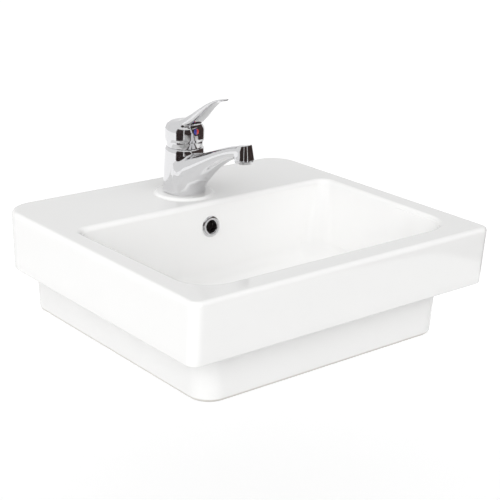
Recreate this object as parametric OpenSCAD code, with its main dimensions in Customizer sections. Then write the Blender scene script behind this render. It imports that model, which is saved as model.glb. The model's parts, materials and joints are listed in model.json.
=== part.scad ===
// Inset basin with a one-lever mixer, an overflow ring and a slotted push waste.
// The worktop's upper surface is z = 0. The front of the basin faces -Y.

/* [Rim block] */
// Width of the basin
basin_w = 500; // [480:5:560]
// Depth of the basin, front to back
basin_d = 450; // [440:5:480]
// Height of the rim above the worktop
rim_h = 82; // [76:1:100]
// Plan radius of the two front corners
front_corner_r = 13.6; // [8:0.2:20]
// Plan radius of the two back corners
back_corner_r = 43; // [30:1:48]
// Rounding of the rim's outer top edge
top_edge_r = 6.5; // [4:0.5:9]
// Rounding of the rim's lower outer edge
low_edge_r = 2.5; // [1.5:0.5:4]
// How far the front face draws in towards the worktop
front_draft = 4.7; // [2:0.1:7]
// How far each side face draws in
side_draft = 1; // [0.5:0.1:4]
// How far the back face draws in
back_draft = 2.6; // [1:0.1:4]

/* [Lower body] */
// Height of the body below the worktop
body_h = 75; // [73:1:90]
// Ledge that rests on the worktop in front
ledge_front = 37; // [34:1:40]
// Ledge that rests on the worktop at each side
ledge_side = 42.7; // [39:0.1:44]
// Set-back of the body at the back
ledge_back = 5.4; // [4:0.1:8]
// Draft of the body's walls over its height
body_draft = 2.9; // [1:0.1:3]
// Plan radius of the body's front corners
body_front_r = 30.6; // [24:0.2:40]
// Plan radius of the body's back corners
body_back_r = 20.4; // [16:0.2:30]
// Rounding of the body's bottom edge
body_edge_r = 6.4; // [4:0.2:8]
// Thickness of the skirt round the underside
skirt_t = 10.5; // [9:0.5:12]

/* [Bowl] */
// Rim width in front
rim_front = 36.6; // [35:0.2:42]
// Rim width at each side
rim_side = 34; // [32:0.5:40]
// Depth of the tap deck, from the back edge to the bowl
deck_d = 148.5; // [140:0.5:154]
// Depth of the bowl at the waste
bowl_depth = 128.5; // [120:0.5:132]
// Fall of the floor towards the waste, per unit of length
floor_fall = 0.085; // [0.04:0.005:0.1]
// Lean of the front wall over the bowl's depth
front_lean = 16; // [8:1:20]
// Lean of each side wall
side_lean = 25; // [18:1:30]
// Lean of the back wall
back_lean = 12.5; // [8:0.5:16]
// Plan radius of the opening's front corners
bowl_front_r = 47; // [30:1:60]
// Plan radius of the opening's back corners
bowl_back_r = 14; // [10:1:24]
// How much the back corners open out at the floor
bowl_back_spread = 30; // [10:1:40]
// Rounding of the opening's front edge
bowl_edge_front_r = 4.5; // [3:0.5:7]
// Rounding of the edge between the deck and the bowl
bowl_edge_back_r = 9; // [6:0.5:12]
// Rounding where the walls meet the floor
bowl_foot_r = 24; // [14:1:30]
// Thickness of the bowl's floor and back wall
wall_t = 10.5; // [9:0.5:12]
// Thickness of the deck under the tap
deck_t = 16; // [13:0.5:20]

/* [Waste and overflow] */
// Radius of the waste hole in the ceramic
waste_hole_r = 22.5; // [22:0.1:24]
// Radius of the waste's threaded tail
waste_tail_r = 20.95; // [20.5:0.05:20.95]
// Bore of the waste's tail
waste_bore_r = 17.5; // [16:0.1:18.5]
// Length of the waste below the basin's floor
waste_len = 80; // [70:1:84]
// Radius of the waste's flange
waste_flange_r = 32; // [29:0.5:34]
// Thickness of the waste's flange
waste_flange_t = 3; // [2.4:0.2:3.6]
// Travel of the push plug
plug_travel = 8; // [5:0.5:10]
// Radius of the overflow hole in the back wall
overflow_hole_r = 11.5; // [11:0.1:12]
// Depth of the overflow's centre below the rim
overflow_depth = 34.5; // [32:0.5:38]
// Outer radius of the overflow ring
overflow_ring_r = 15.15; // [14:0.05:17]
// Radius of the opening in the overflow ring
overflow_bore_r = 9.4; // [8:0.1:10.2]
// Radius of the water channel behind the back wall
channel_r = 7; // [5:0.2:7.2]

/* [Mixer] */
// Distance of the mixer's axis from the basin's back edge
tap_back = 87.6; // [84:0.2:90]
// Radius of the raised landing under the mixer
landing_r = 46; // [42:0.5:48]
// Height of the landing
landing_h = 3; // [1:0.5:4]
// Radius of the tap hole in the ceramic
tap_hole_r = 17.5; // [17:0.1:18.5]
// Radius of the mixer's base
base_r = 30.8; // [29.5:0.1:33]
// Radius of the mixer's body under the handle
neck_r = 28.2; // [27.8:0.1:29]
// Height of the mixer's body above the landing
body_top_h = 66; // [64:0.5:70]
// Horizontal reach from the mixer's axis to the aerator
spout_reach = 135.4; // [120:0.5:145]
// Height of the aerator's lower edge above the landing
outlet_h = 72.5; // [70:0.5:80]
// Height of the spout's tip
nose_h = 20.5; // [19:0.5:24]
// Half width of the spout where it leaves the body
spout_root_w = 19; // [17:0.5:22]
// Half width of the spout at its nose
spout_tip_w = 14.6; // [14:0.1:16]
// Radius of the aerator's thread
aerator_r = 11; // [10:0.05:11.4]

/* [Handle] */
// Largest radius of the handle's dome
dome_r = 28.4; // [28.2:0.1:30]
// Height of the dome
dome_h = 27.5; // [27.5:0.5:34]
// Gap between the body and the dome, in which the collar shows
waist_h = 10; // [9.5:0.5:12]
// Horizontal reach of the lever's tip from the mixer's axis
lever_reach = 88; // [80:1:110]
// Rise of the lever's tip above the dome's lower edge
lever_rise = 74.5; // [60:0.5:85]
// Half width of the lever at the dome
lever_root_w = 22; // [17:0.5:25]
// Half width of the lever near its tip
lever_tip_w = 8; // [6:0.5:12]
// Radius of the hot and cold indicator
indicator_r = 4.25; // [3.5:0.05:4.5]
// Height of the indicator above the dome's lower edge
indicator_h = 16.2; // [15.5:0.1:18]
// Radius of the square stalk's ball end
ball_r = 3.9; // [3:0.1:4.1]
// Side of the square stalk
stalk_w = 8; // [6.5:0.1:8.2]

/* [Hidden] */
$fn = 64;

// Colours
china = [0.95, 0.95, 0.94];
chrome = [0.78, 0.79, 0.81];
brass = [0.80, 0.66, 0.36];
steel = [0.62, 0.63, 0.65];
rubber = [0.12, 0.12, 0.13];
white_plastic = [0.88, 0.88, 0.86];
grey_plastic = [0.55, 0.57, 0.60];

// Steps round one corner of a plan outline
corner_n = 10;
// Small overlap that makes cuts run clean through
cut = 1;
// Clearance of parts that fit by hand, and of parts that move
fit = 0.05;
slip = 0.3;

// Basin datums
half_w = basin_w / 2;
half_d = basin_d / 2;
bowl_front_y = -half_d + rim_front;
bowl_back_y = half_d - deck_d;
drain_y = (bowl_front_y + bowl_back_y) / 2;
drain_z = rim_h - bowl_depth;
floor_t = wall_t;
floor_start = waste_flange_r + 2;
body_front_y = -half_d + ledge_front;
body_back_y = half_d - ledge_back;
body_w = half_w - ledge_side;
chamber_front_y = bowl_back_y + wall_t;
chamber_w = body_w - body_draft - skirt_t - 1;
chamber_back_y = body_back_y - body_draft - skirt_t - 1;
boss_r = waste_hole_r + 11;
boss_bottom = -body_h + 3;

// Overflow datums: the back wall leans, so its normal tilts up
back_angle = atan(back_lean / bowl_depth);
overflow_z = rim_h - overflow_depth;
overflow_y = bowl_back_y - overflow_depth * tan(back_angle);
channel_back = wall_t + channel_r - 2;
channel_z = boss_bottom + channel_r + 5;

// Waste datums
seat_depth = 2.5;
seat_z = drain_z - seat_depth;
flange_seal_t = 1;
flange_z = seat_z + flange_seal_t;
tail_bottom = drain_z - waste_len;
spider_z = boss_bottom + 4;
click_r = 7;
spindle_r = 4;
plug_r = waste_flange_r - 3;
plug_t = 4;
plug_seal_t = 1.6;
plug_z = flange_z + waste_flange_t + slip + plug_seal_t;
washer_t = 3.5;
slip_washer_t = 1.5;
backnut_t = 10;
tail_relief = 0.45;
backnut_z = boss_bottom - washer_t - slip_washer_t - backnut_t;

// Mixer datums, on the mixer's own axis
tap_y = half_d - tap_back;
land_z = rim_h + landing_h;
base_z = land_z + 0.4;
body_top = land_z + body_top_h;
cup_r = 17.3;
neck_out_r = 14.2;
cup_z = body_top - 19;
shoulder_z = body_top - 5;
pivot_z = body_top + 9;
neck_top = pivot_z + 3;
inlet_depth = 13;
inlet_r = 5;
gasket_r = base_r - 3.3;
gasket_w = 3.4;
horseshoe_r = tap_hole_r + 7.5;
stud_depth = 18;
hose_x = 8.5;
hose_y = -2;
stud_y = 11;
stud_r = 4;
stud_bottom = 10;
nut_r = 19.9;
collar_r = 26;
collar_t = 1.6;
cavity_r = collar_r + 0.8;
deck_bottom = rim_h - deck_t;

// Cartridge datums
plate_t = 2;
cavity_w = 15.2;
disc_t = 3;
disc_gap = 0.15;
fixed_disc_z = cup_z + plate_t + 0.1;
moving_disc_z = fixed_disc_z + disc_t + disc_gap;
moving_disc_t = 5.6;
moving_disc_r = 8.5;
ball_z = moving_disc_z + ball_r + 0.4;
cavity_top = moving_disc_z + moving_disc_t + 0.4;
carrier_r = neck_out_r - 1.5;
carrier_bottom = cavity_top + slip;
carrier_top = neck_top - 0.5;
pin_r = 1.5;

// Spout datums
nose_y = tap_y - spout_reach;
collar_h = 4.5;
nose_bottom = land_z + outlet_h + collar_h;
nose_top = nose_bottom + nose_h;
aerator_top = nose_bottom + 9.5;

// Handle datums
dome_z = body_top + waist_h;
dome_top = dome_z + dome_h;
indicator_z = dome_z + indicator_h;
boss_z = pivot_z + 7;
lever_tip_y = tap_y - lever_reach;
lever_tip_z = dome_z + lever_rise;

// Lofts

// Points of one rounded corner
function corner(cx, cy, r, a0, z) =
    [for (i = [0:corner_n]) [cx + r * cos(a0 + 90 * i / corner_n), cy + r * sin(a0 + 90 * i / corner_n), z]];

// Plan outline with its own front and back widths, radii and heights
function plan(wf, wb, yf, yb, rf, rb, zf, zb) = concat(
    corner(wb - rb, yb - rb, rb, 0, zb),
    corner(-wb + rb, yb - rb, rb, 90, zb),
    corner(-wf + rf, yf + rf, rf, 180, zf),
    corner(wf - rf, yf + rf, rf, 270, zf));

// Faces that join rings of n points, closed by a fan at each end
function loft_faces(rings, n) = concat(
    [for (k = [0:rings - 2]) for (j = [0:n - 1]) [k * n + j, (k + 1) * n + j, (k + 1) * n + (j + 1) % n]],
    [for (k = [0:rings - 2]) for (j = [0:n - 1]) [k * n + j, (k + 1) * n + (j + 1) % n, k * n + (j + 1) % n]],
    [for (j = [0:n - 1]) [rings * n, j, (j + 1) % n]],
    [for (j = [0:n - 1]) [rings * n + 1, (rings - 1) * n + (j + 1) % n, (rings - 1) * n + j]]);

// Solid through a list of rings, from the first centre to the last
module loft(rings, first, last) {
    n = len(rings[0]);
    points = concat([for (r = rings) for (p = r) p], [first, last]);
    polyhedron(points = points, faces = loft_faces(len(rings), n), convexity = 8);
}

// Height of the bowl's sloping floor above any point of the plan
function floor_z(x, y) = drain_z + floor_fall * max(0, norm([x, y - drain_y]) - floor_start);

// A ring laid on the floor, drawn towards the waste by s and raised by h
function on_floor(ring, s, h) =
    [for (p = ring) let (x = p[0] * s, y = drain_y + (p[1] - drain_y) * s) [x, y, floor_z(x, y) + h]];

// Basin

// Rim block outline at a height, drawn in by inset
function rim_ring(z, inset) = let (t = (rim_h - z) / rim_h) plan(
    half_w - side_draft * t - inset, half_w - side_draft * t - inset,
    -half_d + front_draft * t + inset, half_d - back_draft * t - inset,
    front_corner_r - inset, back_corner_r - inset, z, z);

// Lower body outline at a height, drawn in by inset
function body_ring(z, inset) = let (t = -z / body_h) plan(
    body_w - body_draft * t - inset, body_w - body_draft * t - inset,
    body_front_y + body_draft * t + inset, body_back_y - body_draft * t - inset,
    body_front_r - inset, body_back_r - inset, z, z);

// Bowl wall outline at a depth below the rim, drawn in by inset
function bowl_ring(d, inset, zf, zb) = let (t = d / bowl_depth) plan(
    half_w - rim_side - side_lean * t - inset, half_w - rim_side - side_lean * t - inset,
    bowl_front_y + front_lean * t + inset, bowl_back_y - back_lean * t - inset,
    bowl_front_r + 8 * t - inset, bowl_back_r + bowl_back_spread * t - inset, zf, zb);

// Opening edge: the front is tight, the back a soft roll
function edge_ring(a) = let (
    f = bowl_edge_front_r, b = bowl_edge_back_r,
    of = f * (1 - cos(a)), ob = b * (1 - cos(a)), df = f * (1 - sin(a)), db = b * (1 - sin(a)))
    plan(half_w - rim_side + of, half_w - rim_side + ob, bowl_front_y - of, bowl_back_y + ob,
        bowl_front_r + of, bowl_back_r + ob, rim_h - df, rim_h - db);

function hollow_ring() = body_ring(-body_h, skirt_t);

module basin_casting() {
    foot_d = bowl_depth - bowl_foot_r - 12;
    foot = bowl_ring(foot_d, bowl_foot_r, 0, 0);
    rings = concat(
        [for (s = [0.3, 0.65, 1]) on_floor(hollow_ring(), s, -floor_t)],
        [hollow_ring()],
        [for (a = [0:22.5:90]) body_ring(-body_h + body_edge_r * (1 - cos(a)), body_edge_r * (1 - sin(a)))],
        [body_ring(0, 0)],
        [for (a = [0:30:90]) rim_ring(low_edge_r * (1 - cos(a)), low_edge_r * (1 - sin(a)))],
        [for (a = [0:15:90]) rim_ring(rim_h - top_edge_r * (1 - sin(a)), top_edge_r * (1 - cos(a)))],
        [for (a = [90:-15:0]) edge_ring(a)],
        [for (d = [0.25, 0.5, 0.75]) bowl_ring(d * foot_d, 0, rim_h - d * foot_d, rim_h - d * foot_d)],
        [for (a = [10:16:90]) [for (p = bowl_ring(foot_d, bowl_foot_r * (1 - cos(a)), 0, 0))
            [p[0], p[1], floor_z(p[0], p[1]) + bowl_foot_r * (1 - sin(a))]]],
        [for (s = [0.78, 0.55, 0.32, 0.14]) on_floor(foot, s, 0)]);
    loft(rings, [0, drain_y, drain_z - floor_t], [0, drain_y, drain_z]);
}

// Open space behind the bowl, under the tap deck
module deck_chamber() {
    lean = tan(back_angle);
    top = deck_bottom;
    bottom = -body_h - cut;
    corner_r = 16;
    top_r = 8;
    function ring(z, inset) = let (f = chamber_front_y - (rim_h - z) * lean + inset) plan(
        chamber_w - inset, chamber_w - inset, f, chamber_back_y - inset,
        corner_r - inset, corner_r - inset, z, z);
    rings = concat([ring(bottom, 0)],
        [for (a = [0:22.5:90]) ring(top - top_r * (1 - sin(a)), top_r * (1 - cos(a)))]);
    mid_y = (chamber_front_y + chamber_back_y) / 2;
    loft(rings, [0, mid_y, bottom], [0, mid_y, top]);
}

// A cylinder from point a to point b
module rod(a, b, r) {
    v = b - a;
    translate(a) rotate([0, acos(v[2] / norm(v)), atan2(v[1], v[0])]) cylinder(r = r, h = norm(v));
}

overflow_centre = [0, overflow_y, overflow_z];
channel_top = [0, overflow_y + channel_back, overflow_z + 2];
channel_turn = [0, channel_top[1] - (channel_top[2] - channel_z) * tan(back_angle), channel_z];
channel_end = [0, drain_y, channel_z];

module channel(r, grow) {
    rod(channel_top + [0, 0, grow], channel_turn, r);
    translate(channel_turn) sphere(r = r);
    rod(channel_turn, channel_end, r);
}

module basin() color(china) difference() {
    union() {
        difference() {
            basin_casting();
            deck_chamber();
        }
        translate([0, tap_y, rim_h - 2]) rotate_extrude() polygon(concat(
            [[0, 0], [landing_r + 7, 0]],
            [for (i = [0:8]) [landing_r + 7 - 7 * i / 8, 2 + landing_h * (1 - cos(180 * i / 8)) / 2]],
            [[0, 2 + landing_h]]));
        translate([0, drain_y, boss_bottom]) cylinder(r = boss_r, h = drain_z - floor_t / 2 - boss_bottom);
        channel(channel_r + 5, 6);
        translate(overflow_centre) rotate([90 - back_angle, 0, 0])
            translate([0, 0, -channel_back - 3]) cylinder(r = overflow_hole_r + 3.5, h = channel_back);
    }
    translate([0, tap_y, deck_bottom - cut]) cylinder(r = tap_hole_r, h = deck_t + landing_h + 2 * cut);
    translate([0, drain_y, boss_bottom - cut])
        cylinder(r = waste_hole_r, h = drain_z - boss_bottom + 2 * cut);
    translate([0, drain_y, seat_z]) cylinder(r = waste_flange_r + 0.6, h = 40);
    channel(channel_r, 0);
    translate(overflow_centre) rotate([90 - back_angle, 0, 0])
        translate([0, 0, -channel_back]) cylinder(r = overflow_hole_r, h = channel_back + 20);
}

module overflow_ring() color(chrome)
    translate(overflow_centre) rotate([90 - back_angle, 0, 0]) rotate_extrude() polygon([
        [overflow_bore_r, -8], [overflow_hole_r - 0.3, -8], [overflow_hole_r - 0.3, 0.1],
        [overflow_ring_r, 0.1], [overflow_ring_r, 0.8], [overflow_ring_r - 1.4, 2.2],
        [overflow_bore_r + 0.9, 2.4], [overflow_bore_r, 1.6]]);

// Mixer

// Cubic curve through its own control points
function bez(p, t) = p[0] * pow(1 - t, 3) + p[1] * 3 * t * pow(1 - t, 2)
    + p[2] * 3 * t * t * (1 - t) + p[3] * pow(t, 3);
function sgn(v) = v < 0 ? -1 : 1;

// Oval section between an upper and a lower point, w wide each side
function section(up, lo, w, n, power) = [for (i = [0:n - 1]) let (
    a = 360 * i / n,
    x = w * sgn(cos(a)) * pow(abs(cos(a)), 2 / power),
    k = sgn(sin(a)) * pow(abs(sin(a)), 2 / power))
    [x, (up[0] + lo[0]) / 2 + k * (up[0] - lo[0]) / 2, (up[1] + lo[1]) / 2 + k * (up[1] - lo[1]) / 2]];

// Upper and lower rails of the spout, as [y, z]
spout_up = [[tap_y - 14, body_top - 9], [tap_y - 52, body_top - 1.7],
    [nose_y + 38, nose_top - 12], [nose_y, nose_top]];
spout_lo = [[tap_y - 20, land_z + 3.5], [tap_y - 45, land_z + 30.5],
    [nose_y + 51, nose_bottom - 8], [nose_y + 6.5, nose_bottom]];
function spout_w(t) = spout_root_w + (spout_tip_w - spout_root_w) * (1 - pow(1 - t, 1.6));

module spout() {
    n = 32;
    nose_len = spout_tip_w - 0.6;
    rings = concat(
        [for (i = [0:18]) let (t = i / 18) section(bez(spout_up, t), bez(spout_lo, t), spout_w(t), n, 2.5)],
        [for (a = [18, 36, 54, 70, 82]) let (y = nose_y - nose_len * sin(a))
            section([y, nose_top - 2.5 * (1 - cos(a))], [y, nose_bottom], spout_tip_w * cos(a), n, 2.5)]);
    r = (spout_up[0] + spout_lo[0]) / 2;
    loft(rings, [0, r[0], r[1]], [0, nose_y - nose_len, (nose_top + nose_bottom) / 2]);
}

module mixer_body() color(chrome) difference() {
    union() {
        translate([0, tap_y, 0]) rotate_extrude() polygon([
            [0, base_z], [base_r - 1.4, base_z], [base_r - 0.4, base_z + 1], [base_r, base_z + 3],
            [base_r, base_z + 9], [(base_r + neck_r) / 2 + 0.2, land_z + 38], [neck_r + 0.2, body_top - 8],
            [neck_r, body_top - 4], [neck_r - 0.7, body_top - 1.6], [neck_r - 2.4, body_top],
            [0, body_top]]);
        spout();
        translate([0, nose_y, nose_bottom]) cylinder(r = aerator_r + 3, h = 12);
    }
    // Cartridge seat and the thread of its nut
    translate([0, tap_y, cup_z]) cylinder(r = cup_r + fit, h = 40);
    translate([0, tap_y, shoulder_z]) cylinder(r = nut_r + fit, h = 40);
    // Inlets, with their passages to the cartridge
    for (x = [-hose_x, hose_x]) translate([x, tap_y + hose_y, base_z - cut]) {
        cylinder(r = inlet_r, h = inlet_depth + cut);
        cylinder(r = inlet_r - 0.5, h = cup_z - base_z - 3);
        cylinder(r = inlet_r - 1.8, h = cup_z - base_z + 2 * cut);
    }
    // Stud hole
    translate([0, tap_y + stud_y, base_z - cut]) cylinder(r = stud_r + fit, h = stud_depth + 2 + cut);
    // Waterway of the spout
    translate([0, tap_y - 9, cup_z - 10]) cylinder(r = 3.2, h = 11);
    rod([0, tap_y - 7, cup_z - 10], [0, nose_y, nose_top - 9.5], 4.2);
    // Aerator seat
    translate([0, nose_y, nose_bottom - 20])
        cylinder(r = aerator_r + fit, h = aerator_top + 1.6 - nose_bottom + 20);
    translate([0, nose_y, nose_bottom - 20]) cylinder(r = aerator_r + 1.1, h = 20);
    // Groove of the base gasket
    translate([0, tap_y, base_z - cut]) difference() {
        cylinder(r = gasket_r, h = 1.3 + cut);
        cylinder(r = gasket_r - gasket_w - 0.1, h = 1.3 + cut);
    }
}

module base_gasket() color(rubber) translate([0, tap_y, land_z]) difference() {
    cylinder(r = gasket_r - 0.1, h = base_z + 1.3 - land_z);
    translate([0, 0, -cut]) cylinder(r = gasket_r - gasket_w, h = 5);
}

// Aerator

module aerator_housing() color(chrome) translate([0, nose_y, 0]) rotate_extrude() polygon([
    [aerator_r - 2.2, land_z + outlet_h], [aerator_r + 0.5, land_z + outlet_h],
    [aerator_r + 0.9, land_z + outlet_h + 0.6], [aerator_r + 0.9, nose_bottom], [aerator_r, nose_bottom],
    [aerator_r, aerator_top], [aerator_r - 1.4, aerator_top], [aerator_r - 1.4, land_z + outlet_h + 1.8],
    [aerator_r - 2.2, land_z + outlet_h + 1.8]]);

module aerator_insert() color(white_plastic) translate([0, nose_y, land_z + outlet_h + 1.8]) difference() {
    cylinder(r = aerator_r - 1.45, h = aerator_top - land_z - outlet_h - 1.8);
    translate([0, 0, 3]) cylinder(r = aerator_r - 2.6, h = 20);
    for (x = [-2:2]) for (y = [-2:2]) if (norm([x, y]) < 2.5)
        translate([x * 3 - 1, y * 3 - 1, -cut]) cube([2, 2, 5]);
}

module aerator_washer() color(rubber) translate([0, nose_y, aerator_top]) difference() {
    cylinder(r = aerator_r - 0.1, h = 1.6);
    translate([0, 0, -cut]) cylinder(r = aerator_r - 2.6, h = 5);
}

// Cartridge

// Two inlets and the mixed outlet
module ports(r, h) {
    for (x = [-hose_x, hose_x]) translate([x, hose_y, 0]) cylinder(r = r, h = h);
    translate([0, -9, 0]) cylinder(r = r, h = h);
}

module cartridge_base() color(grey_plastic) translate([0, tap_y, cup_z]) difference() {
    cylinder(r = cup_r, h = plate_t);
    translate([0, 0, -cut]) ports(3, 5);
    translate([0, 0, -0.01]) ports(4.2, 0.9);
}

module cartridge_seals() color(rubber) translate([0, tap_y, cup_z]) difference() {
    ports(4.1, 0.85);
    translate([0, 0, -cut]) ports(3, 5);
}

module cartridge_body() color(white_plastic) translate([0, tap_y, 0]) difference() {
    union() {
        translate([0, 0, cup_z + plate_t]) cylinder(r = cup_r, h = shoulder_z - cup_z - plate_t);
        translate([0, 0, shoulder_z - cut]) cylinder(r = neck_out_r, h = neck_top - shoulder_z + cut);
    }
    translate([0, 0, cup_z]) cylinder(r = cavity_w, h = cavity_top - cup_z);
    translate([0, 0, cup_z]) cylinder(r = carrier_r + 0.1, h = 40);
}

module fixed_disc() color([0.9, 0.9, 0.92]) translate([0, tap_y, fixed_disc_z]) difference() {
    cylinder(r = cavity_w - 0.1, h = disc_t);
    translate([0, 0, -cut]) ports(2.6, 9);
}

module moving_disc() color([0.75, 0.77, 0.8]) translate([0, tap_y, moving_disc_z]) difference() {
    cylinder(r = moving_disc_r, h = moving_disc_t);
    translate([0, 0, -cut]) cylinder(r = ball_r + 0.4, h = 20);
}

module swivel_carrier() color(grey_plastic) translate([0, tap_y, 0]) difference() {
    translate([0, 0, carrier_bottom]) cylinder(r = carrier_r, h = carrier_top - carrier_bottom);
    translate([-stalk_w / 2 - slip, -11, carrier_bottom - cut]) cube([stalk_w + 2 * slip, 18.5, 40]);
    translate([-20, 0, pivot_z]) rotate([0, 90, 0]) cylinder(r = pin_r, h = 40);
}

module pivot_pin() color(steel) translate([-carrier_r + 1, tap_y, pivot_z])
    rotate([0, 90, 0]) cylinder(r = pin_r - fit, h = 2 * carrier_r - 2);

module lever_stalk() color(brass) translate([0, tap_y, 0]) difference() {
    union() {
        translate([-stalk_w / 2, -stalk_w / 2, ball_z + 3])
            cube([stalk_w, stalk_w, dome_top - 9.5 - ball_z - 3]);
        translate([0, 0, ball_z]) cylinder(r = ball_r - 1, h = 4);
        translate([0, 0, ball_z]) sphere(r = ball_r);
    }
    translate([-20, 0, pivot_z]) rotate([0, 90, 0]) cylinder(r = pin_r, h = 40);
}

module clamp_nut() color(brass) translate([0, tap_y, 0]) difference() {
    union() {
        translate([0, 0, shoulder_z]) cylinder(r = nut_r, h = body_top - shoulder_z);
        translate([0, 0, body_top]) cylinder(r = nut_r + 0.8, h = 4.5, $fn = 6);
    }
    translate([0, 0, shoulder_z - cut]) cylinder(r = neck_out_r + 0.1, h = 40);
}

// Ball-shaped ring, so that the dome can tilt over it
module trim_collar() color(chrome) translate([0, tap_y, 0]) rotate_extrude() {
    low = asin((body_top - pivot_z) / collar_r);
    in_r = collar_r - collar_t;
    in_low = asin((body_top - pivot_z) / in_r);
    high = 26;
    polygon(concat(
        [for (i = [0:8]) let (a = low + (high - low) * i / 8)
            [collar_r * cos(a), pivot_z + collar_r * sin(a)]],
        [for (i = [8:-1:0]) let (a = in_low + (high - in_low) * i / 8)
            [in_r * cos(a), pivot_z + in_r * sin(a)]]));
}

// Handle

lever_up = [[tap_y + 12, dome_top - 1.3], [tap_y - 16, dome_top + 0.9],
    [lever_tip_y + 34, lever_tip_z - 5], [lever_tip_y, lever_tip_z]];
lever_lo = [[tap_y + 6, dome_top - 14], [tap_y - 40, dome_top - 3.5],
    [lever_tip_y + 36, lever_tip_z - 15.5], [lever_tip_y + 1, lever_tip_z - 2.2]];
function lever_w(t) = lever_tip_w + (lever_root_w - lever_tip_w) * pow(1 - t, 1.7);

module lever() {
    n = 28;
    tip_len = 4;
    c = (lever_up[3] + lever_lo[3]) / 2;
    r = (lever_up[0] + lever_lo[0]) / 2;
    rings = concat(
        [for (i = [0:16]) let (t = i / 16) section(bez(lever_up, t), bez(lever_lo, t), lever_w(t), n, 2.4)],
        [for (a = [35, 65]) let (s = cos(a), y = c[0] - tip_len * sin(a)) section(
            [y, c[1] + (lever_up[3][1] - c[1]) * s], [y, c[1] + (lever_lo[3][1] - c[1]) * s],
            lever_tip_w * pow(s, 0.6), n, 2.4)]);
    loft(rings, [0, r[0], r[1]], [0, c[0] - tip_len, c[1]]);
}

// Outline of the dome: a slight barrel with a soft shoulder
module dome_outline() polygon(concat(
    [[0, dome_z], [dome_r - 0.9, dome_z], [dome_r - 0.3, dome_z + 0.7], [dome_r, dome_z + 4],
        [dome_r, dome_z + 14]],
    [for (i = [1:9]) let (a = 90 * i / 10, r = dome_h / 2)
        [dome_r - r + r * cos(a), dome_top - r + r * sin(a)]],
    [[dome_r - dome_h / 2 - 3, dome_top + 0.3], [0, dome_top + 0.9]]));

module lever_handle() color(chrome) difference() {
    union() {
        difference() {
            union() {
                translate([0, tap_y, 0]) rotate_extrude() dome_outline();
                lever();
            }
            translate([0, tap_y, pivot_z]) sphere(r = cavity_r);
        }
        translate([0, tap_y, boss_z]) cylinder(r = 8, h = dome_top - 1 - boss_z);
        translate([0, tap_y, indicator_z]) rotate([90, 0, 0]) cylinder(r = 4.6, h = dome_r - 3);
    }
    // Socket of the stalk
    translate([-stalk_w / 2 - fit, tap_y - stalk_w / 2 - fit, boss_z - cut])
        cube([stalk_w + 2 * fit, stalk_w + 2 * fit, dome_top - 9.2 - boss_z + cut]);
    // Screw hole and the indicator's seat
    translate([0, tap_y, indicator_z]) rotate([90, 0, 0]) {
        cylinder(r = 2.5 + fit, h = 40);
        translate([0, 0, dome_r - 3]) cylinder(r = indicator_r + fit, h = 20);
    }
}

module handle_screw() color(steel) translate([0, tap_y - stalk_w / 2 - 0.1, indicator_z])
    rotate([90, 0, 0]) difference() {
        cylinder(r = 2.5, h = 10);
        translate([0, 0, 7]) cylinder(r = 1.4, h = 5, $fn = 6);
    }

module indicator_plug() color([0.75, 0.15, 0.2]) translate([0, tap_y - dome_r + 3, indicator_z])
    rotate([90, 0, 0]) rotate_extrude() polygon([
        [0, 0], [indicator_r, 0], [indicator_r, 2.2], [indicator_r - 0.6, 2.7], [0, 3]]);

// Mixer fixings

module fixing_stud() color(steel) translate([0, tap_y + stud_y, stud_bottom])
    cylinder(r = stud_r, h = base_z + stud_depth - stud_bottom);

// Horseshoe, open towards the inlets
module horseshoe(r, z, h, slot) translate([0, tap_y, z]) linear_extrude(h) difference() {
    circle(r = r);
    hull() for (x = [-hose_x, hose_x]) for (y = [hose_y, -r - 20]) translate([x, y]) circle(r = slot);
    translate([0, stud_y]) circle(r = stud_r + 0.1);
}

module horseshoe_gasket() color(rubber) horseshoe(horseshoe_r, deck_bottom - 3, 3, 5.8);
module horseshoe_plate() color(steel) horseshoe(horseshoe_r - 1, deck_bottom - 5.5, 2.5, 5.8);

module stud_nut() color(brass) translate([0, tap_y + stud_y, deck_bottom - 5.5 - 14]) difference() {
    cylinder(r = 7.2, h = 14, $fn = 6);
    translate([0, 0, -cut]) cylinder(r = stud_r + fit, h = 20);
}

// Waste

module at_drain() translate([0, drain_y, 0]) children();

module waste_body() color(chrome) at_drain() difference() {
    union() {
        difference() {
            union() {
                translate([0, 0, flange_z]) rotate_extrude() polygon([[0, 0], [waste_flange_r, 0],
                    [waste_flange_r, 0.8], [waste_flange_r - 2, waste_flange_t], [0, waste_flange_t]]);
                // The thread runs out above the nut
                translate([0, 0, tail_bottom]) cylinder(r = waste_tail_r, h = backnut_z - 0.5 - tail_bottom);
                translate([0, 0, tail_bottom])
                    cylinder(r = waste_tail_r - tail_relief, h = flange_z - tail_bottom + cut);
            }
            translate([0, 0, tail_bottom - cut]) cylinder(r = waste_bore_r, h = waste_len + 20);
        }
        for (a = [0, 90]) rotate(a) translate([-waste_bore_r - 1, -1.5, spider_z])
            cube([2 * waste_bore_r + 2, 3, 4]);
        translate([0, 0, spider_z]) cylinder(r = click_r + 2, h = 4);
    }
    translate([0, 0, spider_z - cut]) cylinder(r = click_r + fit, h = 10);
    // Overflow slots
    for (a = [45, 225]) rotate(a) translate([0, -6, channel_z - 5]) cube([40, 12, 12]);
    for (a = [135, 315]) rotate(a) translate([0, -6, channel_z - 5]) cube([40, 12, 12]);
}

module flange_seal() color(rubber) at_drain() translate([0, 0, seat_z]) difference() {
    cylinder(r = waste_flange_r - 1, h = flange_seal_t);
    translate([0, 0, -cut]) cylinder(r = waste_hole_r, h = 5);
}

module waste_plug() color(chrome) at_drain() translate([0, 0, plug_z]) rotate_extrude() polygon(concat(
    [[0, 0], [plug_r - 0.6, 0], [plug_r, 0.6], [plug_r, 1.6]],
    [for (i = [1:5]) let (a = 90 * i / 6) [plug_r * cos(a) * 0.985, 1.6 + (plug_t - 1.6) * sin(a)]],
    [[0, plug_t]]));

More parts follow.
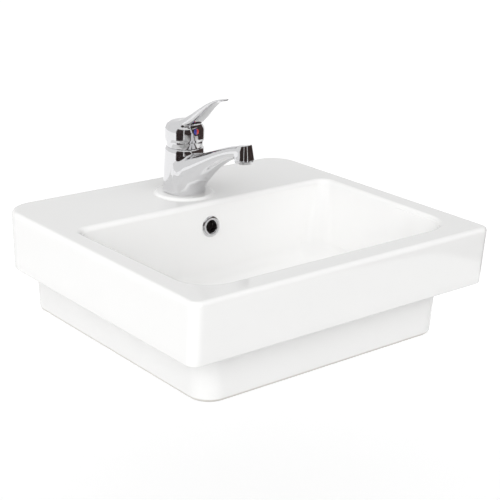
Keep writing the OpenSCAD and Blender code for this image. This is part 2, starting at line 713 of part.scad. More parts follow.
module plug_seal() color(rubber) at_drain() translate([0, 0, plug_z - plug_seal_t]) difference() {
    cylinder(r = plug_r - 3, h = plug_seal_t);
    translate([0, 0, -cut]) cylinder(r = waste_bore_r + 1, h = 5);
}

module plug_spindle() color(brass) at_drain() translate([0, 0, spider_z - 14])
    cylinder(r = spindle_r, h = plug_z - spider_z + 14);

module click_housing() color(white_plastic) at_drain() translate([0, 0, spider_z - 16]) difference() {
    union() {
        cylinder(r = click_r, h = 22);
        cylinder(r = click_r + 2, h = 16);
    }
    translate([0, 0, 1.5]) cylinder(r = spindle_r + fit, h = 30);
}

module tapered_washer() color(rubber) at_drain()
    translate([0, 0, boss_bottom - washer_t]) rotate_extrude() polygon([
        [waste_tail_r + 0.1, 0], [boss_r - 1, 0], [boss_r - 4, washer_t], [waste_tail_r + 0.1, washer_t]]);

module slip_washer() color(white_plastic) at_drain() translate([0, 0, backnut_z + backnut_t]) difference() {
    cylinder(r = boss_r - 1, h = slip_washer_t);
    translate([0, 0, -cut]) cylinder(r = waste_tail_r + 0.1, h = 5);
}

module backnut() color(brass) at_drain() translate([0, 0, backnut_z]) difference() {
    union() {
        cylinder(r = 30, h = backnut_t - 3, $fn = 8);
        translate([0, 0, backnut_t - 3]) cylinder(r = boss_r - 1, h = 3);
    }
    translate([0, 0, -cut]) cylinder(r = waste_tail_r + fit, h = 20);
}

basin();
overflow_ring();
mixer_body();
base_gasket();
aerator_housing();
aerator_insert();
aerator_washer();
cartridge_base();
cartridge_body();
cartridge_seals();
fixed_disc();
moving_disc();
swivel_carrier();
pivot_pin();
lever_stalk();
clamp_nut();
trim_collar();
lever_handle();
handle_screw();
indicator_plug();
fixing_stud();
horseshoe_gasket();
horseshoe_plate();
stud_nut();
waste_body();
flange_seal();
waste_plug();
plug_seal();
plug_spindle();
click_housing();
tapered_washer();
slip_washer();
backnut();
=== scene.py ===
"""Looks of the inset basin and its one-lever mixer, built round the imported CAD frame.

Every size below is in millimetres in the frame of the part: the worktop's upper surface is z = 0
and the front of the basin faces -Y. Meshes are scaled to metres when they are made.
"""

import json
import logging
import math
from dataclasses import dataclass, field
from enum import Enum
from typing import Callable, Sequence

import bmesh
import bpy
import numpy as np
from mathutils import Matrix, Vector


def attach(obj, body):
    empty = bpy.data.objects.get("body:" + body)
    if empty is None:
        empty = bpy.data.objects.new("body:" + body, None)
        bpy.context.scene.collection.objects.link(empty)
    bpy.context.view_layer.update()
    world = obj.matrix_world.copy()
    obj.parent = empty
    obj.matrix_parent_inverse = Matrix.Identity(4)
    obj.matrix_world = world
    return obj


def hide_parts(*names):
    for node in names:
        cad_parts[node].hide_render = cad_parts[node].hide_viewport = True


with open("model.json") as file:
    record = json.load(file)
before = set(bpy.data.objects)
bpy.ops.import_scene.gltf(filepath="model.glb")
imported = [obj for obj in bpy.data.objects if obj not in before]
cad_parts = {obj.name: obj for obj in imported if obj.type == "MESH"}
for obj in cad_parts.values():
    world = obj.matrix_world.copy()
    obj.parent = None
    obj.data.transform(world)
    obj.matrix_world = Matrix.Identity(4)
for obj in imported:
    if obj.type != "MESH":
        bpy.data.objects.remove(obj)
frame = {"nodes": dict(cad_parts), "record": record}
LOG = logging.getLogger("basin")
MM = 0.001
Point = Sequence[float]
Field = Callable[[np.ndarray, np.ndarray, np.ndarray], np.ndarray]


# Finishes


class Slot(Enum):
    """Material slots of the record."""

    CHINA = "glazed_china"
    CHROME = "chrome"
    RUBBER = "rubber"
    WHITE_PLASTIC = "white_plastic"
    GREY_PLASTIC = "grey_plastic"
    DISC = "disc_ceramic"
    STEEL = "steel"
    BRASS = "brass"
    INDICATOR = "indicator"


class NodeSheet:
    """A small helper that adds and fills nodes in one tree."""

    def __init__(self, tree: bpy.types.NodeTree) -> None:
        """Keep the tree.

        Args:
            tree: the node tree that nodes are added to.
        """
        self.tree = tree

    def add(self, kind: str, values: dict | None = None, **settings: object) -> bpy.types.Node:
        """Add one node.

        Args:
            kind: the node's type name.
            values: numbers or sockets by input name or index.
            settings: attributes of the node.

        Returns:
            The new node.
        """
        node = self.tree.nodes.new(kind)
        for key, value in settings.items():
            setattr(node, key, value)
        self.fill(node, values or {})
        return node

    def fill(self, node: bpy.types.Node, values: dict) -> None:
        """Set a node's inputs to numbers, or link them to sockets.

        Args:
            node: the node.
            values: numbers or sockets by input name or index.
        """
        for key, value in values.items():
            if isinstance(value, bpy.types.NodeSocket):
                self.tree.links.new(value, node.inputs[key])
            else:
                node.inputs[key].default_value = value

    def math(self, operation: str, *operands: object) -> bpy.types.NodeSocket:
        """Add a node that works out one operation.

        Args:
            operation: name of the operation.
            operands: what it works on, numbers or sockets.

        Returns:
            The result's socket.
        """
        node = self.add("ShaderNodeMath", dict(enumerate(operands)), operation=operation)
        return node.outputs["Value"]


def new_material(name: str) -> tuple[bpy.types.Material, NodeSheet, bpy.types.Node]:
    """Make a material with its main shader.

    Args:
        name: its name.

    Returns:
        The material, its node sheet and the shader.
    """
    material = bpy.data.materials.new(name)
    material.use_nodes = True
    return material, NodeSheet(material.node_tree), material.node_tree.nodes["Principled BSDF"]


def surface_marks() -> bpy.types.NodeTree:
    """Make the group that gives the fine unevenness of a used, wiped surface.

    Returns:
        A shader node group with Scale in, and Height and Patches out.
    """
    group = bpy.data.node_groups.get("surface_marks")
    if group:
        return group
    group = bpy.data.node_groups.new("surface_marks", "ShaderNodeTree")
    group.interface.new_socket("Scale", in_out="INPUT", socket_type="NodeSocketFloat")
    for name in ("Height", "Patches"):
        group.interface.new_socket(name, in_out="OUTPUT", socket_type="NodeSocketFloat")
    sheet = NodeSheet(group)
    scale = sheet.add("NodeGroupInput").outputs["Scale"]
    place = sheet.add("ShaderNodeTexCoord").outputs["Object"]
    fine = sheet.add("ShaderNodeTexNoise", {
        "Vector": place, "Scale": scale, "Detail": 3.0, "Roughness": 0.55})
    wide = sheet.add("ShaderNodeTexNoise", {
        "Vector": place, "Scale": 9.0, "Detail": 2.0, "Roughness": 0.5})
    sheet.add("NodeGroupOutput", {"Height": fine.outputs["Fac"], "Patches": wide.outputs["Fac"]})
    return group


@dataclass(frozen=True)
class Finish:
    """One finish: its plain numbers, and how far colour, roughness and relief vary."""

    name: str
    colour: tuple[float, float, float]
    second_colour: tuple[float, float, float]
    roughness: tuple[float, float]
    metallic: float = 0.0
    coat: float = 0.0
    ior: float = 1.5
    grain: float = 120.0
    relief: float = 0.02
    coat_roughness: float = 0.04

    def colour_source(self, sheet: NodeSheet, marks: bpy.types.Node) -> bpy.types.NodeSocket:
        """Mix the two colours by the wide patches.

        Args:
            sheet: the material's node sheet.
            marks: the placed group of surface marks.

        Returns:
            The socket that gives the colour.
        """
        mix = sheet.add("ShaderNodeMix", {
            "A": (*self.colour, 1.0), "B": (*self.second_colour, 1.0),
            "Factor": marks.outputs["Patches"]}, data_type="RGBA")
        return mix.outputs["Result"]

    def build(self) -> bpy.types.Material:
        """Make the material, or find the one made before.

        Returns:
            The material.
        """
        found = bpy.data.materials.get(self.name)
        if found:
            return found
        material, sheet, shader = new_material(self.name)
        marks = sheet.add("ShaderNodeGroup", {"Scale": self.grain}, node_tree=surface_marks())
        rough = sheet.add("ShaderNodeMapRange", {
            "Value": marks.outputs["Patches"], "From Min": 0.35, "From Max": 0.65,
            "To Min": self.roughness[0], "To Max": self.roughness[1]})
        bump = sheet.add("ShaderNodeBump", {
            "Height": marks.outputs["Height"], "Strength": self.relief, "Distance": 0.001})
        sheet.fill(shader, {
            "Base Color": self.colour_source(sheet, marks), "Roughness": rough.outputs["Result"],
            "Normal": bump.outputs["Normal"], "Metallic": self.metallic, "IOR": self.ior,
            "Coat Weight": self.coat, "Coat Roughness": self.coat_roughness})
        return material


@dataclass(frozen=True)
class IndicatorFinish(Finish):
    """The indicator: blue on the left half, red on the right, under a clear gloss."""

    blue: tuple[float, float, float] = (0.05, 0.06, 0.32)
    red: tuple[float, float, float] = (0.62, 0.06, 0.04)
    seam: float = 0.0003

    def colour_source(self, sheet: NodeSheet, marks: bpy.types.Node) -> bpy.types.NodeSocket:
        """Split the two colours at x = 0.

        Args:
            sheet: the material's node sheet.
            marks: the placed group of surface marks.

        Returns:
            The socket that gives the colour.
        """
        place = sheet.add("ShaderNodeTexCoord").outputs["Object"]
        parts = sheet.add("ShaderNodeSeparateXYZ", {"Vector": place})
        step = sheet.add("ShaderNodeMapRange", {
            "Value": parts.outputs["X"], "From Min": -self.seam / 2, "From Max": self.seam / 2})
        mix = sheet.add("ShaderNodeMix", {
            "A": (*self.blue, 1.0), "B": (*self.red, 1.0),
            "Factor": step.outputs["Result"]}, data_type="RGBA")
        return mix.outputs["Result"]


GLAZE = Finish("white_glaze", (0.895, 0.893, 0.885), (0.915, 0.913, 0.907), (0.03, 0.07),
               coat=0.0, ior=1.52, grain=60.0, relief=0.012)
BISQUE = Finish("unglazed_china", (0.70, 0.68, 0.64), (0.78, 0.76, 0.72), (0.75, 0.9),
                grain=900.0, relief=0.35)
# Painted shade: a near-black lining for the overflow hole, its channel and the waste hole, which stands in
# for the dark inside these deep recesses.
PAINTED_SHADE_LINING = Finish("recess_painted_shade", (0.035, 0.028, 0.026), (0.06, 0.05, 0.046), (0.4, 0.6),
                   grain=400.0, relief=0.2)
CHROME = Finish("polished_chrome", (0.765, 0.765, 0.777), (0.80, 0.80, 0.812), (0.08, 0.12),
                metallic=1.0, grain=160.0, relief=0.006)
RUBBER = Finish("black_rubber", (0.02, 0.02, 0.022), (0.035, 0.035, 0.038), (0.55, 0.75),
                grain=700.0, relief=0.25)
WHITE_ACETAL = Finish("white_acetal", (0.72, 0.72, 0.70), (0.78, 0.78, 0.76), (0.32, 0.45),
                      grain=500.0, relief=0.08)
GREY_PLASTIC = Finish("grey_moulding", (0.26, 0.275, 0.30), (0.31, 0.325, 0.35), (0.38, 0.5),
                      grain=500.0, relief=0.1)
DISC_CERAMIC = Finish("lapped_ceramic", (0.72, 0.72, 0.75), (0.76, 0.76, 0.79), (0.12, 0.2),
                      grain=900.0, relief=0.03)
ZINC = Finish("zinc_plate", (0.55, 0.56, 0.58), (0.64, 0.65, 0.66), (0.25, 0.42),
              metallic=1.0, grain=450.0, relief=0.1)
BRASS = Finish("machined_brass", (0.70, 0.52, 0.22), (0.78, 0.60, 0.28), (0.2, 0.34),
               metallic=1.0, grain=420.0, relief=0.08)
INDICATOR = IndicatorFinish("indicator_gloss", (0.5, 0.1, 0.1), (0.5, 0.1, 0.1), (0.08, 0.12),
                            coat=0.6, grain=300.0, relief=0.01)

FINISH_OF_SLOT = {
    Slot.CHINA: GLAZE, Slot.CHROME: CHROME, Slot.RUBBER: RUBBER, Slot.WHITE_PLASTIC: WHITE_ACETAL,
    Slot.GREY_PLASTIC: GREY_PLASTIC, Slot.DISC: DISC_CERAMIC, Slot.STEEL: ZINC, Slot.BRASS: BRASS,
    Slot.INDICATOR: INDICATOR,
}


# Mesh helpers


def mesh_object(name: str, points: np.ndarray, faces: Sequence[Sequence[int]],
                smooth_angle: float = 30.0) -> bpy.types.Object:
    """Make an object at the origin from points in millimetres.

    Args:
        name: the object's name.
        points: rows of x, y, z.
        faces: point indices of each face.
        smooth_angle: edges sharper than this many degrees stay crisp.

    Returns:
        The object, linked to the scene.
    """
    mesh = bpy.data.meshes.new(name)
    mesh.from_pydata((np.asarray(points) * MM).tolist(), [], [list(f) for f in faces])
    mesh.validate()
    item = bpy.data.objects.new(name, mesh)
    bpy.context.scene.collection.objects.link(item)
    soften(mesh, smooth_angle)
    return item


def soften(mesh: bpy.types.Mesh, smooth_angle: float) -> None:
    """Shade the mesh smooth, with crisp edges above an angle.

    Args:
        mesh: the mesh.
        smooth_angle: the angle in degrees.
    """
    mesh.shade_smooth()
    mesh.set_sharp_from_angle(angle=math.radians(smooth_angle))


def outward(mesh: bpy.types.Mesh, merge: float = 1e-7) -> None:
    """Merge doubles and turn every face outwards.

    Args:
        mesh: the mesh.
        merge: merging distance in metres.
    """
    work = bmesh.new()
    work.from_mesh(mesh)
    bmesh.ops.remove_doubles(work, verts=work.verts, dist=merge)
    bmesh.ops.recalc_face_normals(work, faces=work.faces)
    work.to_mesh(mesh)
    work.free()


def closed_object(name: str, points: np.ndarray, faces: Sequence[Sequence[int]],
                  smooth_angle: float) -> bpy.types.Object:
    """Make an object from a closed skin, with every face turned outwards.

    Args:
        name: the object's name.
        points: rows of x, y, z in millimetres.
        faces: point indices of each face.
        smooth_angle: edges sharper than this stay crisp.

    Returns:
        The object.
    """
    item = mesh_object(name, points, faces, smooth_angle)
    outward(item.data)
    soften(item.data, smooth_angle)
    return item


def loft(name: str, rings: Sequence[np.ndarray], first: Point, last: Point,
         smooth_angle: float = 30.0) -> bpy.types.Object:
    """Make a closed skin through rings of equal length.

    Args:
        name: the object's name.
        rings: arrays of points, one a ring.
        first: centre of the fan that closes the first ring.
        last: centre of the fan that closes the last ring.
        smooth_angle: edges sharper than this stay crisp.

    Returns:
        The object.
    """
    n = len(rings[0])
    points = np.vstack([*rings, [first], [last]])
    low, high = len(rings) * n, len(rings) * n + 1
    faces: list[tuple[int, ...]] = []
    for k in range(len(rings) - 1):
        for j in range(n):
            i = (j + 1) % n
            faces.append((k * n + j, k * n + i, (k + 1) * n + i, (k + 1) * n + j))
    top = (len(rings) - 1) * n
    for j in range(n):
        i = (j + 1) % n
        faces.append((low, i, j))
        faces.append((high, top + j, top + i))
    return closed_object(name, points, faces, smooth_angle)


def turned(name: str, profile: Sequence[Point], axis_y: float, segments: int = 96,
           tilt: float = 0.0, pivot: Point = (0.0, 0.0, 0.0),
           smooth_angle: float = 28.0) -> bpy.types.Object:
    """Turn a closed outline round an axis.

    Args:
        name: the object's name.
        profile: outline as (radius, height) pairs in order.
        axis_y: y of a vertical axis at x = 0.
        segments: steps round the axis.
        tilt: degrees by which the turned piece leans round X.
        pivot: where the tilted axis starts, used only with a tilt.
        smooth_angle: edges sharper than this stay crisp.

    Returns:
        The object.
    """
    angles = np.linspace(0, 2 * math.pi, segments, endpoint=False)
    outline = np.asarray(profile, float)
    count = len(outline)
    points = np.array([[r * math.cos(a), r * math.sin(a), z] for a in angles for r, z in outline])
    faces = []
    for k in range(segments):
        m = (k + 1) % segments
        for j in range(count):
            i = (j + 1) % count
            quad = [k * count + j, m * count + j, m * count + i, k * count + i]
            if outline[j][0] < 1e-9:
                quad.remove(m * count + j)
            if outline[i][0] < 1e-9 and m * count + i in quad:
                quad.remove(m * count + i)
            if len(quad) > 2:
                faces.append(quad)
    if tilt:
        turn = np.array(Matrix.Rotation(math.radians(tilt), 3, "X"))
        points = points @ turn.T + np.asarray(pivot)
    else:
        points = points + np.array([0, axis_y, 0])
    return closed_object(name, points, faces, smooth_angle)


def bake(item: bpy.types.Object) -> None:
    """Make what an object's modifiers give its mesh, and take the modifiers off.

    Args:
        item: the object.
    """
    graph = bpy.context.evaluated_depsgraph_get()
    result = bpy.data.meshes.new_from_object(item.evaluated_get(graph))
    item.modifiers.clear()
    old = item.data
    item.data = result
    bpy.data.meshes.remove(old)


def joined(base: bpy.types.Object, tools: Sequence[tuple[str, bpy.types.Object]],
           smooth_angle: float = 32.0) -> bpy.types.Object:
    """Add pieces to a solid or cut them from it.

    Args:
        base: the solid.
        tools: pairs of operation name and tool object; the tools are removed.
        smooth_angle: edges sharper than this stay crisp.

    Returns:
        The same object with its new mesh.
    """
    for operation, tool in tools:
        step = base.modifiers.new("step", "BOOLEAN")
        step.operation = operation
        step.object = tool
        step.solver = "MANIFOLD"
        step.material_mode = "TRANSFER"
    bake(base)
    for _, tool in tools:
        bpy.data.objects.remove(tool)
    soften(base.data, smooth_angle)
    return base


def dress(item: bpy.types.Object, slot: Slot, body: str,
          replaced: Sequence[str] = ()) -> bpy.types.Object:
    """Give a piece its finish, its body and the nodes it stands for.

    Args:
        item: the piece.
        slot: the record's slot, which has its finish.
        body: the CAD body that it rides on.
        replaced: CAD nodes that it stands for.

    Returns:
        The piece.
    """
    if not item.data.materials:
        item.data.materials.append(FINISH_OF_SLOT[slot].build())
    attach(item, body)
    if replaced:
        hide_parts(*replaced)
    LOG.info("%s: %d faces, rides on %s", item.name, len(item.data.polygons), body)
    return item


# Smooth castings


def rail(points: Sequence[Point], t: np.ndarray) -> np.ndarray:
    """Points on a cubic rail.

    Args:
        points: four control points.
        t: places along the rail, 0 to 1.

    Returns:
        One point a row.
    """
    p = np.asarray(points, float)
    s = 1 - t
    return (p[0] * (s**3)[:, None] + p[1] * (3 * t * s**2)[:, None]
            + p[2] * (3 * t**2 * s)[:, None] + p[3] * (t**3)[:, None])


def blend(a: np.ndarray, b: np.ndarray, width: float | np.ndarray) -> np.ndarray:
    """Join two solids' fields with a fillet about as wide as width."""
    h = np.maximum(width - np.abs(a - b), 0) / width
    return np.minimum(a, b) - h * h * width / 4


@dataclass
class TurnedField:
    """Signed distance to a solid turned round a vertical axis, kept as a fine table."""

    axis_y: float
    outline: np.ndarray
    pitch: float = 0.25
    margin: float = 14.0
    table: np.ndarray = field(init=False)
    low_z: float = field(init=False)

    def __post_init__(self) -> None:
        """Fill the table of distances over radius and height."""
        self.low_z = float(self.outline[:, 1].min() - self.margin)
        r = np.arange(0, self.outline[:, 0].max() + self.margin, self.pitch)[:, None]
        z = np.arange(self.low_z, self.outline[:, 1].max() + self.margin, self.pitch)[None, :]
        best = np.full((len(r), z.shape[1]), 1e9)
        inside = np.zeros(best.shape, bool)
        for a, b in zip(self.outline, np.roll(self.outline, -1, 0)):
            e = b - a
            if (a[0] < 1e-9 and b[0] < 1e-9) or e @ e < 1e-12:
                continue
            t = np.clip(((r - a[0]) * e[0] + (z - a[1]) * e[1]) / (e @ e), 0, 1)
            best = np.minimum(best, np.hypot(r - a[0] - t * e[0], z - a[1] - t * e[1]))
            if abs(e[1]) > 1e-12:
                inside ^= ((a[1] > z) != (b[1] > z)) & (r < a[0] + (z - a[1]) / e[1] * e[0])
        self.table = np.where(inside, -best, best).astype(np.float32)

    def __call__(self, x: np.ndarray, y: np.ndarray, z: np.ndarray) -> np.ndarray:
        """Distance at points, negative inside.

        Args:
            x, y, z: coordinates of the points.

        Returns:
            The distances.
        """
        out, up = np.hypot(x, y - self.axis_y) / self.pitch, (z - self.low_z) / self.pitch
        out = np.clip(out, 0, self.table.shape[0] - 1.001).astype(np.float32)
        up = np.clip(up, 0, self.table.shape[1] - 1.001).astype(np.float32)
        i, j = out.astype(np.int32), up.astype(np.int32)
        out_share, up_share = out - i, up - j
        table = self.table
        low = table[i, j] * (1 - out_share) + table[i + 1, j] * out_share
        high = table[i, j + 1] * (1 - out_share) + table[i + 1, j + 1] * out_share
        return low * (1 - up_share) + high * up_share


@dataclass
class SweptField:
    """Field of an arm swept between an upper and a lower rail in the plane x = 0."""

    upper: Sequence[Point]
    lower: Sequence[Point]
    width: Callable[[np.ndarray], np.ndarray]
    power: float
    nose: float
    crown: float = 0.0
    steps: int = 200

    def __call__(self, x: np.ndarray, y: np.ndarray, z: np.ndarray) -> np.ndarray:
        """Field at points, negative inside and near the true distance close to the skin.

        Args:
            x, y, z: coordinates of the points.

        Returns:
            The field's values.
        """
        t = np.linspace(0, 1, self.steps)
        up, low = rail(self.upper, t), rail(self.lower, t)
        mid, arm = (up + low) / 2, (up - low) / 2
        shape = np.broadcast_shapes(y.shape, z.shape)
        flat_y, flat_z = np.broadcast_to(y, shape).ravel(), np.broadcast_to(z, shape).ravel()
        side = np.empty((self.steps, flat_y.size), np.float32)
        for k in range(self.steps):
            side[k] = arm[k, 0] * (flat_z - mid[k, 1]) - arm[k, 1] * (flat_y - mid[k, 0])
        changed = (side > 0) != (side[0] > 0)
        hit = changed.argmax(0)
        found = changed.any(0)
        after = np.clip(hit, 1, self.steps - 1)
        each = np.arange(flat_y.size)
        a, b = side[after - 1, each], side[after, each]
        share = np.clip(a / np.where(np.abs(a - b) < 1e-12, 1, a - b), 0, 1)
        from_root = np.hypot(flat_y - mid[0, 0], flat_z - mid[0, 1])
        near_root = from_root < np.hypot(flat_y - mid[-1, 0], flat_z - mid[-1, 1])
        place = np.where(found, (after - 1 + share) / (self.steps - 1), np.where(near_root, 0.0, 1.0))
        beyond = ~found & ~near_root
        high, low = rail(self.upper, place), rail(self.lower, place)
        centre, half = (high + low) / 2, (high - low) / 2
        length = np.hypot(half[:, 0], half[:, 1])
        upward = ((flat_y - centre[:, 0]) * half[:, 0] + (flat_z - centre[:, 1]) * half[:, 1]) / length**2
        tip_u, tip_l = rail(self.upper, np.ones(1))[0], rail(self.lower, np.ones(1))[0]
        past_tip = np.where(beyond, np.clip((tip_u[0] - flat_y) / self.nose, 0, None), 0.0)
        top = tip_u[1] - self.crown * (1 - np.sqrt(np.clip(1 - past_tip * past_tip, 0, 1)))
        upward = np.where(beyond, (flat_z - (top + tip_l[1]) / 2) / ((top - tip_l[1]) / 2), upward)
        wide = self.width(place)
        root = np.where(~found & near_root, side[0] / -np.hypot(*arm[0]), 0.0)
        upward, past_tip, wide, length, root = (
            values.reshape(shape) for values in (upward, past_tip, wide, length, np.abs(root)))
        power = self.power
        across = np.sqrt((x / wide) ** 2 + past_tip**2)
        value = (across**power + np.abs(upward) ** power) ** (1 / power) - 1
        return np.maximum(value * np.minimum(wide, length), root - 2)


def skin(name: str, shape: Field, low: Point, high: Point, step: float,
         smooth_angle: float = 40.0) -> bpy.types.Object:
    """Mesh the zero surface of a field and pull its points exactly onto it.

    Args:
        name: the object's name.
        shape: the field, negative inside.
        low: lowest corner of the space searched.
        high: highest corner.
        step: spacing of the grid.
        smooth_angle: edges sharper than this stay crisp.

    Returns:
        The object.
    """
    xs, ys, zs = (np.arange(a, b + step, step) for a, b in zip(low, high))
    values = shape(xs[:, None, None], ys[None, :, None], zs[None, None, :]).astype(np.float32)
    values = np.broadcast_to(values, (len(xs), len(ys), len(zs)))
    cells = tuple(n - 1 for n in values.shape)
    total = int(np.prod(cells))
    grid = [xs, ys, zs]
    sums = np.zeros((total, 3))
    counts = np.zeros(total)
    quads = []
    for axis in range(3):
        after = [slice(None)] * 3
        before = [slice(None)] * 3
        after[axis], before[axis] = slice(1, None), slice(None, -1)
        va, vb = values[tuple(before)], values[tuple(after)]
        where = np.argwhere((va < 0) != (vb < 0))
        a, b = va[tuple(where.T)], vb[tuple(where.T)]
        share = a / (a - b)
        spot = np.stack([grid[m][where[:, m]] + (share * step if m == axis else 0) for m in range(3)], 1)
        u, w = [m for m in range(3) if m != axis]
        inside = (where[:, u] > 0) & (where[:, w] > 0) & (where[:, u] < cells[u]) & (where[:, w] < cells[w])
        where, spot, rising = where[inside], spot[inside], (a < 0)[inside]
        ids = []
        for du, dw in ((-1, -1), (0, -1), (0, 0), (-1, 0)):
            cell = where.copy()
            cell[:, u] += du
            cell[:, w] += dw
            index = np.ravel_multi_index(tuple(cell.T), cells)
            ids.append(index)
            counts += np.bincount(index, minlength=total)
            for m in range(3):
                sums[:, m] += np.bincount(index, weights=spot[:, m], minlength=total)
        quads.append(np.where(rising[:, None], np.stack(ids, 1), np.stack(ids[::-1], 1)))
    used = np.flatnonzero(counts)
    remap = np.full(total, -1)
    remap[used] = np.arange(len(used))
    points = sums[used] / counts[used][:, None]
    nudge, pulls = 0.04, 4
    least_slope, longest_pull = 0.05, 0.5
    for _ in range(pulls):
        x, y, z = points.T
        value = shape(x, y, z)
        slope = np.stack([shape(x + nudge, y, z) - shape(x - nudge, y, z),
                          shape(x, y + nudge, z) - shape(x, y - nudge, z),
                          shape(x, y, z + nudge) - shape(x, y, z - nudge)], 1) / (2 * nudge)
        size = np.maximum((slope**2).sum(1), least_slope)
        points = points - np.clip(value / size, -longest_pull, longest_pull)[:, None] * slope
    faces = remap[np.vstack(quads)]
    return closed_object(name, points, faces.tolist(), smooth_angle)


# Basin


@dataclass
class BasinCasting:
    """The glazed china casting, with the same sizes as its solid and finer rings."""

    width: float = 500.0
    depth: float = 450.0
    rim_h: float = 82.0
    front_corner_r: float = 13.6
    back_corner_r: float = 43.0
    top_edge_r: float = 6.5
    low_edge_r: float = 2.5
    front_draft: float = 4.7
    side_draft: float = 1.0
    back_draft: float = 2.6
    body_h: float = 75.0
    ledge_front: float = 37.0
    ledge_side: float = 42.7
    ledge_back: float = 5.4
    body_draft: float = 2.9
    body_front_r: float = 30.6
    body_back_r: float = 20.4
    body_edge_r: float = 6.4
    skirt_t: float = 10.5
    rim_front: float = 36.6
    rim_side: float = 34.0
    deck_d: float = 148.5
    bowl_depth: float = 128.5
    floor_fall: float = 0.085
    flat_r: float = 34.0
    front_lean: float = 16.0
    side_lean: float = 25.0
    back_lean: float = 12.5
    bowl_front_r: float = 47.0
    bowl_back_r: float = 14.0
    bowl_front_spread: float = 8.0
    bowl_back_spread: float = 30.0
    edge_front_r: float = 4.5
    edge_back_r: float = 9.0
    foot_r: float = 24.0
    wall_t: float = 10.5
    deck_t: float = 16.0
    landing_r: float = 40.6
    landing_h: float = 3.0
    landing_skirt: float = 4.2
    tap_y: float = 137.4
    tap_hole_r: float = 17.5
    waste_hole_r: float = 22.5
    waste_seat_r: float = 32.6
    overflow_hole_r: float = 11.5
    overflow_depth: float = 34.5
    channel_r: float = 7.0
    channel_wall: float = 5.0
    boss_wall: float = 11.0
    boss_rise: float = 3.0
    seat_t: float = 2.5
    chamber_corner_r: float = 16.0
    chamber_top_r: float = 8.0
    corner_steps: int = 16
    side_steps: int = 56
    front_steps: int = 130
    deck_steps: int = 62

    @property
    def half_w(self) -> float:
        """Half of the width."""
        return self.width / 2

    @property
    def half_d(self) -> float:
        """Half of the depth."""
        return self.depth / 2

    @property
    def bowl_front_y(self) -> float:
        """Front edge of the bowl's opening."""
        return -self.half_d + self.rim_front

    @property
    def bowl_back_y(self) -> float:
        """Back edge of the bowl's opening."""
        return self.half_d - self.deck_d

    @property
    def drain_y(self) -> float:
        """The waste's axis."""
        return (self.bowl_front_y + self.bowl_back_y) / 2

    @property
    def drain_z(self) -> float:
        """Height of the floor at the waste."""
        return self.rim_h - self.bowl_depth

    def plan(self, wf: float, wb: float, yf: float, yb: float, rf: float, rb: float,
             zf: float, zb: float) -> np.ndarray:
        """One outline seen from above.

        Args:
            wf, wb: half widths in front and at the back.
            yf, yb: front and back edges.
            rf, rb: corner radii in front and at the back.
            zf, zb: heights in front and at the back.

        Returns:
            The points, anticlockwise from the back right.
        """
        n = self.corner_steps
        arcs = []
        for cx, cy, r, start, z in ((wb - rb, yb - rb, rb, 0, zb), (-wb + rb, yb - rb, rb, 90, zb),
                                    (-wf + rf, yf + rf, rf, 180, zf), (wf - rf, yf + rf, rf, 270, zf)):
            a = np.radians(start + 90 * np.arange(n + 1) / n)
            arcs.append(np.stack([cx + r * np.cos(a), cy + r * np.sin(a), np.full(n + 1, float(z))], 1))
        rows = []
        for k, arc in enumerate(arcs):
            rows.append(arc)
            a, b = arc[-1], arcs[(k + 1) % 4][0]
            steps = self.front_steps if k % 2 == 0 else self.side_steps
            t = np.arange(1, steps) / steps
            if k % 2 == 0:
                u = 2 * t - 1
                t = (u * (0.45 + 0.55 * u * u) + 1) / 2
            rows.append(a + (b - a) * t[:, None])
        return np.vstack(rows)

    def rim_ring(self, z: float, inset: float) -> np.ndarray:
        """Outline of the rim block at a height.

        Args:
            z: the height.
            inset: how far the outline is drawn in.

        Returns:
            The ring.
        """
        t = (self.rim_h - z) / self.rim_h
        w = self.half_w - self.side_draft * t - inset
        front = -self.half_d + self.front_draft * t + inset
        back = self.half_d - self.back_draft * t - inset
        return self.plan(w, w, front, back, self.front_corner_r - inset, self.back_corner_r - inset, z, z)

    def body_ring(self, z: float, inset: float) -> np.ndarray:
        """Outline of the lower body at a height.

        Args:
            z: the height.
            inset: how far the outline is drawn in.

        Returns:
            The ring.
        """
        t = -z / self.body_h
        w = self.half_w - self.ledge_side - self.body_draft * t - inset
        return self.plan(w, w, -self.half_d + self.ledge_front + self.body_draft * t + inset,
                         self.half_d - self.ledge_back - self.body_draft * t - inset,
                         self.body_front_r - inset, self.body_back_r - inset, z, z)

    def bowl_ring(self, d: float, inset: float, z: float) -> np.ndarray:
        """Outline of the bowl's wall.

        Args:
            d: depth below the rim, which sets the lean.
            inset: how far the outline is drawn in.
            z: height that the ring is laid at.

        Returns:
            The ring.
        """
        t = d / self.bowl_depth
        w = self.half_w - self.rim_side - self.side_lean * t - inset
        front = self.bowl_front_y + self.front_lean * t + inset
        back = self.bowl_back_y - self.back_lean * t - inset
        return self.plan(w, w, front, back, self.bowl_front_r + self.bowl_front_spread * t - inset,
                         self.bowl_back_r + self.bowl_back_spread * t - inset, z, z)

    def edge_ring(self, degrees: float) -> np.ndarray:
        """Outline on the rolled edge of the opening.

        Args:
            degrees: place on the roll, 0 at the wall and 90 at the top.

        Returns:
            The ring.
        """
        a = math.radians(degrees)
        f, b = self.edge_front_r, self.edge_back_r
        of, ob = f * (1 - math.cos(a)), b * (1 - math.cos(a))
        df, db = f * (1 - math.sin(a)), b * (1 - math.sin(a))
        w = self.half_w - self.rim_side
        return self.plan(w + of, w + ob, self.bowl_front_y - of, self.bowl_back_y + ob,
                         self.bowl_front_r + of, self.bowl_back_r + ob, self.rim_h - df, self.rim_h - db)

    def floor_z(self, x: np.ndarray, y: np.ndarray) -> np.ndarray:
        """Height of the floor, which slopes from the waste's seat outwards."""
        return self.drain_z + self.floor_fall * np.maximum(0, np.hypot(x, y - self.drain_y) - self.flat_r)

    def on_floor(self, ring: np.ndarray, s: float, lift: float) -> np.ndarray:
        """Lay a ring on the floor, drawn towards the waste by s."""
        x, y = ring[:, 0] * s, self.drain_y + (ring[:, 1] - self.drain_y) * s
        return np.stack([x, y, self.floor_z(x, y) + lift], 1)

